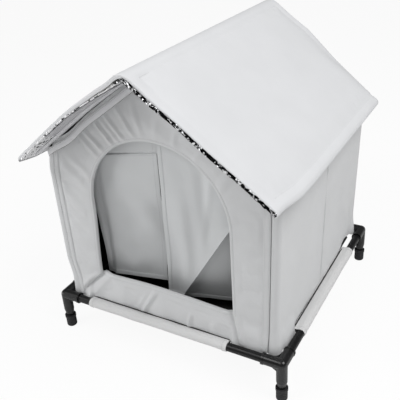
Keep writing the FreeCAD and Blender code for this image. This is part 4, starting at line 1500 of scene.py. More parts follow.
@dataclass
class SideWall:
    """Side wall whose cloth goes round both corners to the seams, with foam and lining."""

    house: House
    finish: Finishes
    side: Side
    rounding: float = 9.0
    seam_y: float = -5.0
    slack_run: ClothRun = ClothRun(pressure=0.8, slack=0.002, cap=2.0)

    def plan(self) -> Array:
        """Path of the cloth seen from above, from the front seam to the back seam, for the right.

        Returns:
            Places as (x, y).
        """
        half, r = self.house.half, self.rounding
        front = spots(np.linspace(self.house.seam + 0.5, half - r, 4)[:-1], -half)
        turn = np.linspace(-math.pi / 2.0, 0.0, 9)
        corner = spots(half - r + r * np.cos(turn), -half + r + r * np.sin(turn))
        run = spots(half, np.linspace(-half + r, half - r, 109)[1:-1])
        mirror = np.array([1.0, -1.0])
        return np.concatenate([front, corner, run, corner[::-1] * mirror, front[::-1] * mirror])

    def foot_lift(self, y: Array) -> Array:
        """How far the lower edge stands above the floor; the right one lifts near the back.

        Args:
            y: Places along the wall.

        Returns:
            Heights.
        """
        wavy = 1.0 * np.sin(y / 27.0) * (1.0 - ease(120.0, 150.0, np.abs(y)))
        lower = self.bare(y) * (9.0 - 3.8 * self.corner(y))
        if self.side is Side.LEFT:
            return 4.0 - lower + 2.0 * bell(y - 60.0, 60.0) + wavy
        return 4.0 - lower + 10.5 * bell(y - 158.0, 27.0) + wavy

    def bare(self, y: Array) -> Array:
        """1 where the rail below has no sleeve; the right wall's lifted back end counts at its corner.

        Args:
            y: Places along the wall.

        Returns:
            Shares from 0 to 1.
        """
        if self.side is Side.LEFT:
            return ease(142.0, 150.0, np.abs(y))
        return ease(146.0, 154.0, -y) + ease(196.0, 208.0, y)

    @staticmethod
    def corner(y: Array) -> Array:
        """1 above a moulded corner."""
        return ease(199.0, 205.0, np.abs(y))

    def build(self) -> None:
        """Make the wall."""
        sign = self.side.value
        path = self.plan()
        along = run_length(path)
        normal = np.gradient(path, axis=0)
        normal = spots(normal[:, 1], -normal[:, 0])
        normal /= np.linalg.norm(normal, axis=1, keepdims=True)
        top = float(self.house.top(self.house.half)) - 0.8
        share = np.linspace(0.0, 1.0, 84)[:, None]
        y = path[None, :, 1] + 0.0 * share
        foot = self.house.foot - 1.5 + self.foot_lift(path[:, 1])[None, :]
        z = foot + (top - foot) * share
        seed = 41 + sign
        lift = 0.8 * undulate(y, z, 150.0, seed) + 0.25 * undulate(y, z, 50.0, seed + 7)
        lift += creased((Crease((-150.0, 96.0), (-196.0, 150.0), 12.0, 1.4),
                         Crease((120.0, 110.0), (60.0, 180.0), 14.0, 1.8),
                         Crease((160.0, 112.0), (150.0, 170.0), 9.0, 2.0),
                         Crease((-60.0, 400.0), (-90.0, 300.0), 14.0, 1.2),
                         Crease((90.0, 400.0), (120.0, 320.0), 14.0, 1.2)), y, z)
        flatten = ease(208.0, 190.0, np.abs(y))
        seam_edge = np.minimum(along, along[-1] - along)[None, :]
        lift = lift * flatten - 0.9 * (1.0 - ease(0.0, 3.0, seam_edge))
        lift = lift - 0.9 * bell(y - self.seam_y, 1.2) + 0.5 * bell(y - self.seam_y - 5.0, 4.0)
        lift = np.where(lift < 0.0, 0.6 * np.tanh(lift / 0.6), lift) + 0.3
        flare = 6.6 - 1.6 * self.corner(y) + 1.2 * bell(seam_edge - 12.6, 6.0)
        lift = lift + self.bare(y) * flare * self.house.flare(z)
        x = sign * (path[None, :, 0] + normal[None, :, 0] * lift)
        points = self.house.spread(spots(x, y + normal[None, :, 1] * lift, z))
        held = (np.abs(y) > 206.0) | (np.abs(y - self.seam_y - 3.0) < 6.0) | (share > 0.97) | (share < 0.02)
        still = points
        points = self.slack_run.fill_out(points, held)
        points[:, :, 0] = sign * np.maximum(sign * points[:, :, 0], sign * still[:, :, 0] - 0.3)
        flat = spots(along[None, :], z)
        cloth = Pattern("side_wall_cloth_" + self.side.word)
        cloth.add_shell(points, flat, 0.8)
        outer = settle(cloth, self.finish.wall, "house", "wall_cloth", self.side.word + "_wall_cover")
        foam = self.slab("side_wall_foam_", 1.6, 3.4, 212.0, 2.4, 2.8)
        piece = settle(foam, self.finish.foam, "house", "stiffener_foam", self.side.word + "_wall_board")
        inner = self.slab("side_wall_lining_cloth_", 5.2, 0.6, 218.0, 1.6, 0.1)
        lining = settle(inner, self.finish.lining, "house", "lining_cloth",
                        self.side.word + "_wall_lining")
        thread = self.stitches()

    def slab(
        self, name: str, depth: float, thickness: float, reach: float, clear: float, above: float
    ) -> Pattern:
        """Flat layer behind the cloth.

        Args:
            name: Start of the piece's name.
            depth: Distance of its outer face behind the wall's face.
            thickness: Its thickness.
            reach: Half of its length along the wall.
            clear: Distance of its upper edge below the roof.
            above: Distance of its lower edge above the floor, where the cloth isn't lifted.

        Returns:
            The layer.
        """
        y = np.linspace(-reach, reach, 73)[None, :]
        share = np.linspace(0.0, 1.0, 41)[:, None]
        foot = self.house.foot + above + np.maximum(self.foot_lift(y) - 4.0, 0.0)
        top = float(self.house.top(self.house.half)) - clear
        z = foot + (top - foot) * share
        y = y + 0.0 * share
        x = self.side.value * (self.house.half - depth - 0.12 * undulate(y, z, 70.0, 51))
        return self.house.layer(name + self.side.word, spots(x, y, z), spots(y, z), thickness)

    def stitches(self) -> Piece:
        """Make the stitches beside both corner seams and down the middle seam.

        Returns:
            The stitches.
        """
        sign, half = self.side.value, self.house.half
        z = np.linspace(self.house.foot + 4.0, float(self.house.top(half)) - 4.0, 60)
        lines = [(sign * (self.house.seam + 4.0), end * half, (0.0, end, 0.0)) for end in (-1.0, 1.0)]
        lines += [(sign * (half + 0.7), self.seam_y + shift, (sign, 0.0, 0.0)) for shift in (3.0, 6.5)]
        rows = [(self.house.spread(spots(x, y, z)), np.array(off)) for x, y, off in lines]
        name = "side_wall_stitches_" + self.side.word
        return sew(name, self.finish.thread, "house", "wall_cloth", rows)


@dataclass
class WallTapes:
    """Corner bindings, loop tapes on the gables and the header tape that the flaps hang from."""

    house: House
    finish: Finishes
    corner_width: float = 12.0
    loop_width: float = 21.0
    loose_width: float = 13.0
    loose_tilt: float = 0.4

    def corner(self, side: Side, gable: Gable) -> None:
        """Make one corner binding with its two rows of stitches.

        Args:
            side: Side of the house.
            gable: Gable end.
        """
        y = gable.value * (self.house.half + 0.2)
        x = side.value * (self.house.seam - self.corner_width / 2.0 - 0.6)
        z = np.linspace(self.house.foot + 2.0, float(self.house.top(self.house.seam)) - 12.0, 70)
        path = spots(x, y, z)
        path[:, 1] += 0.15 * undulate(z, 0.0 * z, 60.0, 61)
        path[:, 1] += gable.value * 6.4 * self.house.flare(z) * (gable is Gable.FRONT)
        path = self.house.spread(path)
        off = np.array([0.0, float(gable.value), 0.0])
        word = gable.word + "_" + side.word
        tape = Pattern("corner_binding_tape_" + word)
        tape.add_ribbon(path, np.array([1.0, 0.0, 0.0]), off, self.corner_width, 0.7)
        settle(tape, self.finish.binding, "house", "binding_tape", "corner_binding_" + word)
        rows = [(path + np.array([shift, 0.0, 0.0]) + 0.75 * off, off) for shift in (-4.2, 4.2)]
        name = "corner_binding_stitches_" + word
        sew(name, self.finish.thread, "house", "binding_tape", rows, radius=0.35)

    def gable(self, side: Side, gable: Gable) -> None:
        """Make one loop tape along a gable slope; the front left one stands off as it sags.

        Args:
            side: Side of the house.
            gable: Gable end.
        """
        loose = gable is Gable.FRONT and side is Side.LEFT
        level = np.linspace(3.0, self.house.half - (6.0 if loose else 1.0), 90)
        x = side.value * level
        sag = self.house.sag(x) if loose else 0.0 * x
        across = np.array([side.value * SIN, 0.0, COS])
        z = self.house.top(x) - sag - (8.5 if loose else 0.8)
        stand = 5.2 + 2.2 * bell(level - 130.0, 60.0) if loose else 1.2 + 0.0 * x
        y = gable.value * (self.house.half + 0.9 + stand)
        off = np.array([0.0, float(gable.value), 0.0])
        width = self.loose_width if loose else self.loop_width
        middle = self.house.spread(spots(x, y, z)) - across * width / 2.0
        tilt = self.loose_tilt if loose else 0.0
        spread = (across - tilt * off) / math.hypot(1.0, tilt)
        off = (off + tilt * across) / math.hypot(1.0, tilt)
        word = gable.word + "_" + side.word
        tape = Pattern("gable_loop_tape_" + word)
        tape.add_ribbon(middle, spread, off, width, 1.3)
        settle(tape, self.finish.loop, "house", "binding_tape", "gable_tape_" + word)
        shifts = (width / 2.0 - 2.5,) if loose else (2.5 - width / 2.0, width / 2.0 - 2.5)
        rows = [(middle + shift * spread + 1.35 * off, off) for shift in shifts]
        sew("gable_loop_stitches_" + word, self.finish.thread, "house", "binding_tape", rows)
        if loose:
            # Black stitches along the loose tape's lower edge: painted shadow, a dark line where the tape
            # stands off the wall.
            seam = Pattern("gable_loop_seam_" + word)
            seam.add_stitches(middle - (width / 2.0 - 0.5) * spread + 0.9 * off, off, pitch=3.0, radius=0.6)
            settle(seam, self.finish.lining, "house", "binding_tape")

    def header(self) -> None:
        """Make the header tape inside the front wall."""
        low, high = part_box("door_header_tape")
        x = np.linspace(low.x, high.x, 40) / MM
        path = spots(x, low.y / MM + 0.2, (low.z + high.z) / 2.0 / MM)
        off = np.array([0.0, 1.0, 0.0])
        tape = Pattern("door_header_webbing")
        tape.add_ribbon(path, UP, off, 22.0, 1.0)
        settle(tape, self.finish.binding, "house", "binding_tape", "door_header_tape")
        rows = [(path + np.array([0.0, 1.05, shift]), off) for shift in (-8.5, 8.5)]
        sew("door_header_stitches", self.finish.thread, "house", "binding_tape", rows)

    def build(self) -> None:
        """Make all the tapes."""
        for gable in Gable:
            for side in Side:
                self.corner(side, gable)
                self.gable(side, gable)
        self.header()


@dataclass
class DoorFlap:
    """Door flap that hangs from the header: cloth with turned hems below a rolled top hem."""

    finish: Finishes
    side: Side
    hinge_y: float = -214.2
    hinge_z: float = 468.0
    top_half: float = 108.8
    full_length: float = 356.0
    left_short: float = 21.0
    band_drop: float = 43.5
    gap: float = 0.5
    meeting_top: float = 7.5
    meeting_foot: float = 22.5
    hem: float = 9.0
    fold_start: float = 142.0
    fold_foot: float = 10.0

    @property
    def length(self) -> float:
        """Drop of the lower edge below the hinge; the left flap is cut shorter."""
        return self.full_length - (self.left_short if self.side is Side.LEFT else 0.0)

    @property
    def half(self) -> float:
        """Distance of the outer edge from the middle of the doorway below the shoulder."""
        return 160.0 if self.side is Side.LEFT else 150.0

    def inner(self, drop: Array) -> Array:
        """Distance of the inner edge from the middle at a drop; the meeting line slants.

        Args:
            drop: Drops below the hinge.

        Returns:
            Distances.
        """
        share = drop / self.full_length
        meeting = self.meeting_top * (1.0 - share) - self.meeting_foot * share
        hollow = 0.6 * share * (28.5 - 22.8 * share**3) + 0.7 if self.side is Side.LEFT else 0.0
        return self.gap + self.side.value * meeting + hollow

    def outer(self, drop: Array) -> Array:
        """Distance of the outer edge from the middle at a drop; the shoulder follows the roof."""
        drawn = 5.0 * ease(120.0, self.length, drop) if self.side is Side.LEFT else 0.0
        return np.minimum(self.top_half + drop / TAN, self.half - drawn)

    def fold(self, drop: Array) -> Array:
        """Distance of the slanting fold from the middle at a drop."""
        edge = self.outer(drop) - 5.0
        return edge - (edge - self.fold_foot) * self.fold_share(drop)

    def fold_share(self, drop: Array) -> Array:
        """How far down the slanting fold a drop is, from 0 to 1."""
        return np.clip((drop - self.fold_start) / (self.length - self.fold_start), 0.0, 1.0)

    def across(self, drop: Array) -> Array:
        """Distances from the middle of the doorway across the flap, one row per drop.

        Args:
            drop: Drops below the hinge.

        Returns:
            Grid of distances.
        """
        edge = self.outer(drop)[:, None]
        hems = np.array([0.0, 1.2, 4.5, 8.0, 9.0, 10.2])[None, :]
        inner = self.inner(drop)[:, None] + hems
        if self.side is Side.LEFT:
            share = np.linspace(0.0, 1.0, 46)[1:-1][None, :]
            middle = inner[:, -1:] + (edge - hems[:, -1:] - inner[:, -1:]) * share
            return np.concatenate([inner, middle, edge - hems[:, ::-1]], axis=1)
        fold = self.fold(drop)[:, None]
        share = np.linspace(0.0, 1.0, 40)[1:][None, :]
        main = inner[:, -1:] + (fold - inner[:, -1:]) * share
        rest = fold + (edge - fold) * np.linspace(0.0, 1.0, 24)[1:][None, :]
        return np.concatenate([inner, main, rest], axis=1)

    def band(self, level: Array) -> Array:
        """Drop of the left flap's cross seam, which hangs lower towards its outer edge."""
        return self.band_drop + 15.0 * np.clip(level / 85.0, 0.0, 1.4)

    def follow_band(self, level: Array, drop: Array) -> Array:
        """Drops of the rows of the left flap, bent so that one row lies on the cross seam.

        Args:
            level: Distances from the middle of the doorway.
            drop: Drops below the hinge.

        Returns:
            Bent drops.
        """
        if self.side is Side.RIGHT:
            return drop
        weight = ease(0.0, self.band_drop, drop) - ease(self.band_drop, 150.0, drop)
        return drop + (self.band(level) - self.band_drop) * weight

    def set_back(self, level: Array, drop: Array) -> Array:
        """Distance of the cloth behind its hinge.

        Args:
            level: Distances from the middle of the doorway.
            drop: Drops below the hinge.

        Returns:
            Distances.
        """
        share = drop / self.length
        edge = self.outer(drop)
        inner = self.inner(drop)
        near = edge - level
        if self.side is Side.LEFT:
            place = np.clip((level - inner) / (edge - 20.0 - inner), 0.0, 1.0)
            bow = 67.0 - 41.0 * place + 8.0 * place**2
            slim = ease(150.0, 330.0, drop)
            curl = (6.5 * slim - 5.0) * (1.0 - ease(0.0, 24.0 - 11.0 * slim, near)) * share
            folds = 2.4 * bell(near - 21.0 + 12.0 * slim - 2.0 * np.sin(drop / 37.0), 8.0 - 2.0 * slim)
            folds += 1.6 * undulate(level, drop * 0.3, 70.0, 71) + 0.8 * undulate(level, drop, 55.0, 72)
            belly = 1.5 * bell(drop - 300.0, 42.0) * (1.0 - place * 0.5)
            above = drop - self.band(level)
            band = 1.8 * (1.0 - ease(-0.7, 0.7, above)) + 0.9 * bell(above + 1.2, 1.0)
            bow = bow * share * (1.0 - 0.34 * share**3)
            return bow + curl + (folds - belly) * ease(25.0, 150.0, drop) + band
        fall = self.fold_share(drop)
        beyond = np.clip((level - self.fold(drop)) / (edge - self.fold(drop)), 0.0, 1.0)
        folds = 2.6 * bell(level - 82.0, 11.0) * ease(30.0, 80.0, drop) * (1.0 - ease(180.0, 260.0, drop))
        folds -= 2.3 * bell(level - 104.0 + (drop - 57.0) * 0.22, 8.0) * bell(drop - 110.0, 80.0)
        folds -= 2.2 * bell(level - 46.0 + drop * 0.05, 13.0) * ease(60.0, 160.0, drop)
        folds += 1.3 * undulate(level, drop * 0.35, 60.0, 73)
        away = level - self.fold(drop)
        lip = np.exp(np.where(away < 0.0, away / 26.0, -away / 5.0))
        corner = 37.0 * np.sqrt(fall) * (0.8 * beyond + 0.2 * beyond**2) - 6.0 * lip * ease(0.0, 0.25, fall)
        dent = 5.0 * bell(level - 126.0, 12.0) * bell(drop - 300.0, 20.0) * ease(0.0, 0.3, beyond)
        still = ease(15.0, 90.0, drop) * (1.0 - 0.8 * ease(-40.0, 10.0, away) * ease(0.0, 0.2, fall))
        return 38.5 * share + corner + dent + folds * still

    def hem_rise(self, level: Array, drop: Array) -> Array:
        """Extra thickness at the turned hems, with a groove at the stitches.

        Args:
            level: Distances from the middle of the doorway.
            drop: Drops below the hinge.

        Returns:
            Rises.
        """
        edges = [(level - self.inner(drop), 0.4), (self.length - drop, 1.0),
                 (self.outer(drop) - level, 1.0)]
        rise = np.zeros(np.broadcast(level, drop).shape)
        for near, share in edges:
            step = 0.8 * (1.0 - ease(self.hem - 0.6, self.hem + 0.9, near))
            step = share * (step - 0.5 * bell(near - self.hem, 1.0))
            rise = np.maximum(rise, step) + np.minimum(step, 0.0)
        return rise

    def place(self, level: Array, drop: Array) -> Array:
        """Places of the cloth's front at flat places."""
        back = self.set_back(level, drop) - 0.5 - self.hem_rise(level, drop)
        return spots(self.side.value * level, self.hinge_y + back, self.hinge_z - drop)

    def build(self) -> None:
        """Make the flap, its rolled top hem and its stitches."""
        sign = self.side.value
        foot = self.length - np.array([10.2, 9.0, 8.0, 4.5, 1.2, 0.0])
        seam = self.band_drop + np.array([-4.0, -2.2, -1.2, -0.5, 0.2, 0.9, 2.0, 4.0])
        top = np.linspace(0.0, seam[0], 13)[:-1]
        rest = np.linspace(seam[-1], foot[0], 92)[1:-1]
        drop = np.concatenate([top, seam, rest, foot])
        level = self.across(drop)
        d = self.follow_band(level, drop[:, None] + 0.0 * level)
        points = self.place(level, d)
        body = self.side.word + "_flap"
        cloth = Pattern("door_flap_cloth_" + self.side.word)
        cloth.add_shell(points, spots(sign * level, d), 1.1)
        self.rolled_hem(cloth, sign)
        node = "door_flap_" + self.side.word
        piece = settle(cloth, self.finish.flap, body, "flap_cloth", node, crisp=40.0)
        stitches = self.stitches(drop, level, body)

    def stitches(self, drop: Array, level: Array, body: str) -> Piece:
        """Make the stitches along the hems and the left flap's cross seam.

        Args:
            drop: Drops below the hinge.
            level: Grid of distances across the flap.
            body: Body of the flap.

        Returns:
            The stitches.
        """
        off = np.array([0.0, -1.0, 0.0])
        hem = level[-4, 3:-1]
        rows = [self.place(level[2:-7, 3], drop[2:-7]), self.place(hem, np.full_like(hem, drop[-4]))]
        if self.side is Side.LEFT:
            rows.append(self.place(level[30:-7, -4], drop[30:-7]))
            seam = level[16, 2:-2]
            rows.append(self.place(seam, self.band(seam) + 3.5))
        raised = [(row + 0.1 * off, off) for row in rows]
        name = "door_flap_stitches_" + self.side.word
        return sew(name, self.finish.thread, body, "flap_cloth", raised, radius=0.35)

    def rolled_hem(self, cloth: Pattern, sign: int) -> None:
        """Add the rolled hem on the hinge axis to a flap's cloth.

        Args:
            cloth: The flap's cloth.
            sign: -1 on the left, 1 on the right.
        """
        along = np.linspace(float(self.inner(np.array(0.0))), self.top_half, 60)
        turn = np.linspace(0.0, math.tau, 16, endpoint=False)
        radius = 2.35 + 0.12 * undulate(along, 0.0 * along, 24.0, 77)
        radius[0] = radius[-1] = 1.4
        y = self.hinge_y + radius[:, None] * np.cos(turn)
        z = self.hinge_z + radius[:, None] * np.sin(turn)
        grid = spots(sign * along[:, None], y, z)
        flat = spots(along[:, None], np.linspace(0.0, math.tau * 2.35, 17))
        small = grid.mean(axis=1, keepdims=True) * 0.98 + 0.02 * grid
        ends = [small[:1], grid, small[-1:]]
        flat = np.concatenate([flat[:1], flat, flat[-1:]])
        cloth.add_grid(np.concatenate(ends), flat, closed=True, flip=sign > 0)


@dataclass
class RoofPanel:
    """Roof panel: a padded cloth cover, a foam board, a crinkled foil lining and two hook tapes."""

    house: House
    finish: Finishes
    side: Side
    start: float = 6.0
    eave: float = 316.2
    reach: float = 278.5
    corner_draw: float = 11.0
    corner_length: float = 126.0
    rounding: float = 18.0
    droop: float = 28.0
    droop_start: float = 100.0
    ridge_rounding: float = 25.0
    ridge_top: float = 581.6
    margin: float = 21.0
    foam_start: float = 20.0
    hook_place: float = 239.0
    hook_width: float = 22.0
    swell: float = 1.0
    filling: ClothRun = ClothRun(pressure=4.0, slack=0.0015, cap=2.5)

    def eave_at(self, y: Array) -> Array:
        """Distance of the eave from the ridge axis along the slope, which is drawn in at corners.

        Args:
            y: Places along the ridge.

        Returns:
            Distances.
        """
        front = (y + self.reach) / self.corner_length
        draw = self.corner_draw * np.interp(front, (0.0, 0.2, 0.4, 0.6, 1.0), (1.0, 0.86, 0.48, 0.14, 0.0))
        back = np.clip(y - self.reach + self.rounding, 0.0, self.rounding)
        return self.eave - draw - (self.rounding - np.sqrt(self.rounding**2 - back**2))

    def fall(self, s: Array, y: Array) -> Array:
        """Droop of the overhangs, square to the slope.

        Args:
            s: Distances from the ridge's axis along the slope.
            y: Places along the ridge.

        Returns:
            Droops.
        """
        share = np.clip((s - self.droop_start) / (self.eave - self.droop_start), 0.0, 1.2)
        front = np.clip((-226.0 - y) / (self.reach - 226.0), 0.0, 1.1)
        wave = 0.5 * undulate(s, y, 140.0, 81 + self.side.value)
        if self.side is Side.LEFT:
            bow = np.sin(math.pi * np.clip(s / self.eave, 0.0, 1.0))
            curl = np.clip((-236.0 - y) / (self.reach - 236.0), 0.0, 1.1) ** 1.2 * ease(0.0, 150.0, s)
            return 7.0 * share**2 * (1.0 - 0.5 * ease(-200.0, 200.0, y)) + wave - 2.0 * bow - 6.0 * curl
        back = np.clip((y - 226.0) / (self.reach - 226.0), 0.0, 1.1)
        return self.droop * share * back * (0.6 + 0.4 * back) + 4.0 * share * front**2 + wave

    def place(self, s: Array, y: Array, h: Array) -> Array:
        """Places of slope distance, ridge distance and height off the middle of the panel.

        Args:
            s: Distances from the ridge's axis along the slope.
            y: Places along the ridge.
            h: Heights off the middle of the panel.

        Returns:
            Places in millimetres.
        """
        sign = self.side.value
        z = self.house.ridge - s * SIN + h * COS
        return spots(sign * (s * COS + h * SIN), y, z)

    def hung(self, s: Number, y: Number, h: Number) -> Array:
        """Places as the panel hangs, with the droop that starts beyond the ridge."""
        return self.place(s, y, h - self.fall(s, y) * ease(20.0, 60.0, s))

    def below(self, s: Array, y: float, deep: float, back: float, ahead: float) -> tuple[Array, Array]:
        """Path of a tape below the panel and directions across it.

        Args:
            s: Distances from the ridge's axis along the slope.
            y: Place along the ridge.
            deep: Depth below the panel's middle.
            back: Step back for the direction.
            ahead: Step ahead for it.

        Returns:
            Places and unit vectors.
        """
        across = self.hung(s, y + ahead, -deep) - self.hung(s, y - back, -deep)
        across /= np.linalg.norm(across, axis=1, keepdims=True)
        return self.hung(s, y, -deep), across

    def upward(self) -> Array:
        """Direction square to the slope."""
        return np.array([self.side.value * SIN, 0.0, COS])

    def ridge_run(self) -> tuple[Array, Array]:
        """Slope distance and height of the cover over the ridge, from its top to where it is flat.

        Returns:
            Distances and heights.
        """
        turn = np.linspace(0.0, PITCH, 8)
        x = self.ridge_rounding * np.sin(turn)
        z = self.ridge_top - self.ridge_rounding * (1.0 - np.cos(turn)) - self.house.ridge
        return x * COS - z * SIN, x * SIN + z * COS

    def thickness(self, s: Array) -> Array:
        """Height of the cover's top above the middle of the panel.

        Args:
            s: Distances from the ridge's axis along the slope.

        Returns:
            Heights.
        """
        ridge_s, ridge_h = self.ridge_run()
        high = float(ridge_h[-1])
        return 4.4 + (high - 4.4) * (1.0 - np.clip((s - ridge_s[-1]) / 175.0, 0.0, 1.0)) ** 1.3

    def edge_steps(self, wide: float, deep: float) -> tuple[Array, Array]:
        """Distances inside an edge and drops below the top, from the flat cloth over the edge.

        Args:
            wide: Distance inside the edge where the cloth starts to turn.
            deep: Drop of the cloth at its edge.

        Returns:
            Distances and drops.
        """
        turn = np.linspace(0.0, math.pi / 2.0, 7)
        inside = np.append(wide * (1.0 - np.sin(turn)), -0.1)
        return inside, np.append(0.8 * deep * (1.0 - np.cos(turn)), deep)

    def padding(self, s: Array, y: Array) -> Array:
        """Swell of the padding between the rows of stitches, with a groove at each row.

        Args:
            s: Distances from the ridge's axis along the slope.
            y: Places along the ridge.

        Returns:
            Swells.
        """
        inside = np.minimum(np.minimum(self.eave_at(y) - s, self.reach - np.abs(y)), s + 3.0)
        row = np.abs(inside - self.margin)
        swell = self.swell * ease(0.0, 26.0, inside - self.margin) + 0.7 * bell(inside - 11.0, 8.0)
        return swell - 1.0 * bell(row, 2.2)

    def shape(self) -> tuple[Array, Array]:
        """Cover from the top of the ridge over the eave and both gable edges, filled out.

        Returns:
            Grids of places and of flat places.
        """
        inside, drop = self.edge_steps(3.0, 4.0)
        front_drop = self.edge_steps(3.0, 7.0)[1] if self.side is Side.LEFT else drop
        eave_inside, eave_drop = self.edge_steps(8.0, 8.6)
        ridge_s, ridge_h = self.ridge_run()
        begin = float(ridge_s[-1])
        share = np.linspace(0.0, 1.0, 84)[1:-1]
        y_flat = np.linspace(-self.reach + 3.0, self.reach - 3.0, 140)[1:-1]
        y = np.concatenate([-self.reach + inside[::-1], y_flat, self.reach - inside])
        y_drop = np.concatenate([front_drop[::-1], np.zeros_like(y_flat), drop])
        end = self.eave_at(np.clip(y, -self.reach, self.reach - 0.5))
        rows, held = [], []
        for k, place_y in enumerate(y):
            flat_s = begin + (end[k] - eave_inside[0] - begin) * share
            s = np.concatenate([ridge_s, flat_s, end[k] - eave_inside])
            s_drop = np.concatenate([np.zeros(len(ridge_s) + len(share)), eave_drop])
            h = np.concatenate([ridge_h, self.thickness(flat_s), self.thickness(end[k] - eave_inside)])
            ys = np.full_like(s, place_y)
            h = h + self.padding(s, ys) * ease(-2.0, 24.0, s) - np.maximum(s_drop, y_drop[k])
            rows.append(self.hung(s, ys, h))
            margin = np.minimum(np.minimum(end[k] - s, self.reach - abs(place_y)), s + 3.0)
            held.append(margin < self.margin + 1.5)
        points = np.stack(rows)
        along = run_length(points[len(y) // 2])
        flat = spots(along[None, :], y[:, None])
        return self.filling.fill_out(points, np.stack(held)), flat

    def cover(self, points: Array, flat: Array) -> Piece:
        """Make the cover, which bends at the ridge.

        Args:
            points: Grid of places.
            flat: Grid of flat places.

        Returns:
            The cover.
        """
        cloth = Pattern("roof_cover_cloth_" + self.side.word)
        cloth.add_shell(points, flat, 0.9, toward=(self.side.value * 100.0, 0.0, 0.0))
        piece = cloth.write(self.finish.roof)
        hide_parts("roof_cover_" + self.side.word)
        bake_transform(piece)
        log.info("%s bends at the ridge, %d faces", piece.name, len(piece.data.polygons))
        return piece

    def seam_points(self, s: Array, y: Array) -> Array:
        """Places on the cover's top at flat places."""
        h = self.thickness(s) + self.padding(s, y) * ease(-2.0, 24.0, s)
        return self.hung(s, y, h + 0.15)

    def stitches(self) -> Piece:
        """Make the rows of stitches along the ridge, the gable edges and the eave.

        Returns:
            The stitches.
        """
        y = np.linspace(-self.reach + self.margin, self.reach - self.margin, 150)
        paths = [(self.margin - 3.0, y), (self.eave_at(y) - self.margin, y)]
        for end in (-1.0, 1.0):
            place = end * (self.reach - self.margin)
            s = np.linspace(self.margin - 3.0, float(self.eave_at(np.array(place))) - self.margin, 80)
            paths.append((s, place))
        rows = [(self.seam_points(*path), self.upward()) for path in paths]
        name = "roof_stitches_" + self.side.word
        return sew(name, self.finish.thread, self.side.word + "_roof", "roof_cloth", rows)

    def foam(self) -> Piece:
        """Make the foam board inside the panel.

        Returns:
            The foam.
        """
        y = np.linspace(-self.reach + 3.5, self.reach - 3.5, 90)
        share = np.linspace(0.0, 1.0, 60)
        end = self.eave_at(y)[:, None] - 3.5
        s = self.foam_start + (end - self.foam_start) * share
        ys = y[:, None] + 0.0 * s
        top = self.thickness(s) + np.minimum(self.padding(s, ys), 0.0) - 1.3
        board = Pattern("roof_foam_" + self.side.word)
        outward = self.side is Side.LEFT
        board.add_layer(self.hung(s, ys, top), self.hung(s, ys, -2.2), spots(s, ys), outward)
        node = "roof_board_" + self.side.word
        piece = settle(board, self.finish.foam, self.side.word + "_roof", "stiffener_foam", node)
        return piece

    def foil(self) -> Piece:
        """Make the crinkled foil below the panel, turned up over its gable edges and its eave.

        Returns:
            The foil.
        """
        draw = np.random.default_rng(90 + self.side.value)
        lip = np.array([2.4, 1.0, -0.4, -1.8, -3.0])
        front_lip = np.array([3.8, 2.2, 0.5, -1.3, -3.0])
        if self.side is Side.LEFT:
            front_lip = np.array([-1.4, -1.8, -2.2, -2.6, -3.1])
        y_flat = np.linspace(-self.reach + 0.2, self.reach - 0.2, 150)
        y = np.concatenate([np.full(5, -self.reach - 0.2), y_flat, np.full(5, self.reach + 0.2)])
        y_lip = np.concatenate([front_lip, np.full_like(y_flat, -3.3), lip[::-1]])
        end = self.eave_at(np.clip(y, -self.reach, self.reach - 0.5))[:, None]
        share = np.linspace(0.0, 1.0, 78)[None, :]
        s = self.start + (end - 2.0 - self.start) * share
        ys = y[:, None] + 0.0 * s
        h = y_lip[:, None] + 0.0 * s
        rough = draw.uniform(-1.0, 1.0, s.shape)
        turned = h > -3.2
        s = s + draw.uniform(-0.9, 0.9, s.shape) * ease(8.0, 14.0, s)
        ys = ys + draw.uniform(-0.9, 0.9, s.shape)
        h = h + np.where(turned, 0.3 * rough, 0.32 * np.minimum(rough, 0.4))
        out = np.where(turned, 0.5 + 0.5 * draw.uniform(0.0, 1.0, s.shape), 0.0)
        ys = ys + np.sign(ys) * out * (np.abs(ys) > self.reach - 1.5)
        film = Pattern("roof_foil_film_" + self.side.word)
        film.add_shell(self.hung(s, ys, h), spots(s, ys), 0.25, toward=(0.0, 0.0, 3000.0))
        body, node = self.side.word + "_roof", "roof_foil_" + self.side.word
        return settle(film, self.finish.foil[self.side], body, "foil_lining", node, crisp=12.0)

    def tapes(self) -> None:
        """Make the hook tapes below the panel."""
        s = np.linspace(26.5, 294.0, 110)
        off, body = -self.upward(), self.side.word + "_roof"
        for gable in Gable:
            word = gable.word + "_" + self.side.word
            path, across = self.below(s, gable.value * self.hook_place, 3.75, 0.0, 1.0)
            tape = Pattern("roof_hook_tape_" + word)
            tape.add_ribbon(path, across, off, self.hook_width, 1.1)
            settle(tape, self.finish.hook, body, "hook_tape", "hook_tape_" + word)
            inset = self.hook_width / 2.0 - 2.0
            rows = [(path + shift * across + 1.15 * off, off) for shift in (-inset, inset)]
            sew("roof_hook_stitches_" + word, self.finish.thread, body, "hook_tape", rows)

    def margin_tape(self) -> None:
        """Make the grey tape in the front margin of the left panel's underside."""
        path, across = self.below(np.linspace(30.0, 214.0, 70), -263.5, 3.85, 8.0, 8.0)
        tape = Pattern("roof_margin_tape_left")
        tape.add_ribbon(path, across, -self.upward(), 25.0, 0.9)
        settle(tape, self.finish.margin, "left_roof", "hook_tape")

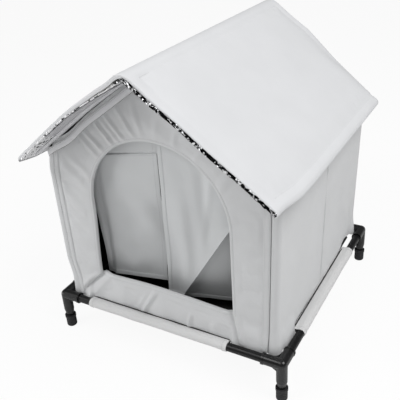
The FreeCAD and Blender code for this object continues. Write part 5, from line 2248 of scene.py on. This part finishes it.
    def build(self, points: Array, flat: Array) -> None:
        """Make the panel from the shape of its cover.

        Args:
            points: Grid of the cover's places.
            flat: Grid of its flat places.
        """
        cover, thread, foam, foil = self.cover(points, flat), self.stitches(), self.foam(), self.foil()
        self.tapes()
        if self.side is Side.LEFT:
            self.margin_tape()


@dataclass
class RidgeFold:
    """Cloth tube inside the ridge that lies on the gable tops."""

    house: House
    finish: Finishes
    radius: float = 4.85
    reach: float = 276.0

    def build(self) -> None:
        """Make the tube."""
        y = np.linspace(-self.reach, self.reach, 140)
        turn = np.linspace(0.0, math.tau, 20, endpoint=False)
        radius = self.radius - 0.2 * (1.0 + undulate(y, 0.0 * y, 60.0, 91)) / 2.0
        x = radius[:, None] * np.cos(turn)[None, :]
        z = self.house.ridge + radius[:, None] * np.sin(turn)[None, :]
        points = spots(x, y[:, None] + 0.0 * x, z)
        rounds = np.linspace(0.0, math.tau * self.radius, 21)
        flat = spots(y[:, None], rounds[None, :])
        tube = Pattern("ridge_fold_cloth")
        tube.add_shell(points, flat, 0.9, closed=True, toward=(0.0, 0.0, self.house.ridge))
        piece = settle(tube, self.finish.roof, "house", "roof_cloth", "ridge_fold")


def write_sizes() -> None:
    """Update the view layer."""
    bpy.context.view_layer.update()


def main() -> None:
    """Build the studio and every sub-assembly of the house."""
    logging.basicConfig(level=logging.INFO, format="%(name)s: %(message)s")
    finish = Finishes()
    house = House()
    Studio().build()
    TubeFrame(finish).build()
    RailSleeve(finish, "front", True, -1, -173.5, 135.5, 101).build()
    RailSleeve(finish, "back", True, 1, -154.5, 154.5, 102).build()
    RailSleeve(finish, "left", False, -1, -148.0, 148.0, 103).build()
    RailSleeve(finish, "right", False, 1, -152.0, 144.0, 104).build()
    FloorCloth(house, finish).build()
    FrontWall(house, finish).build()
    BackWall(house, finish).build()
    for side in Side:
        SideWall(house, finish, side).build()
    WallTapes(house, finish).build()
    for side in Side:
        DoorFlap(finish, side).build()
    panels = [RoofPanel(house, finish, side) for side in Side]
    shapes = [panel.shape() for panel in panels]
    for panel, (points, flat) in zip(panels, shapes):
        panel.build(points, flat)
    RidgeFold(house, finish).build()
    write_sizes()


if __name__ == "__main__":
    main()
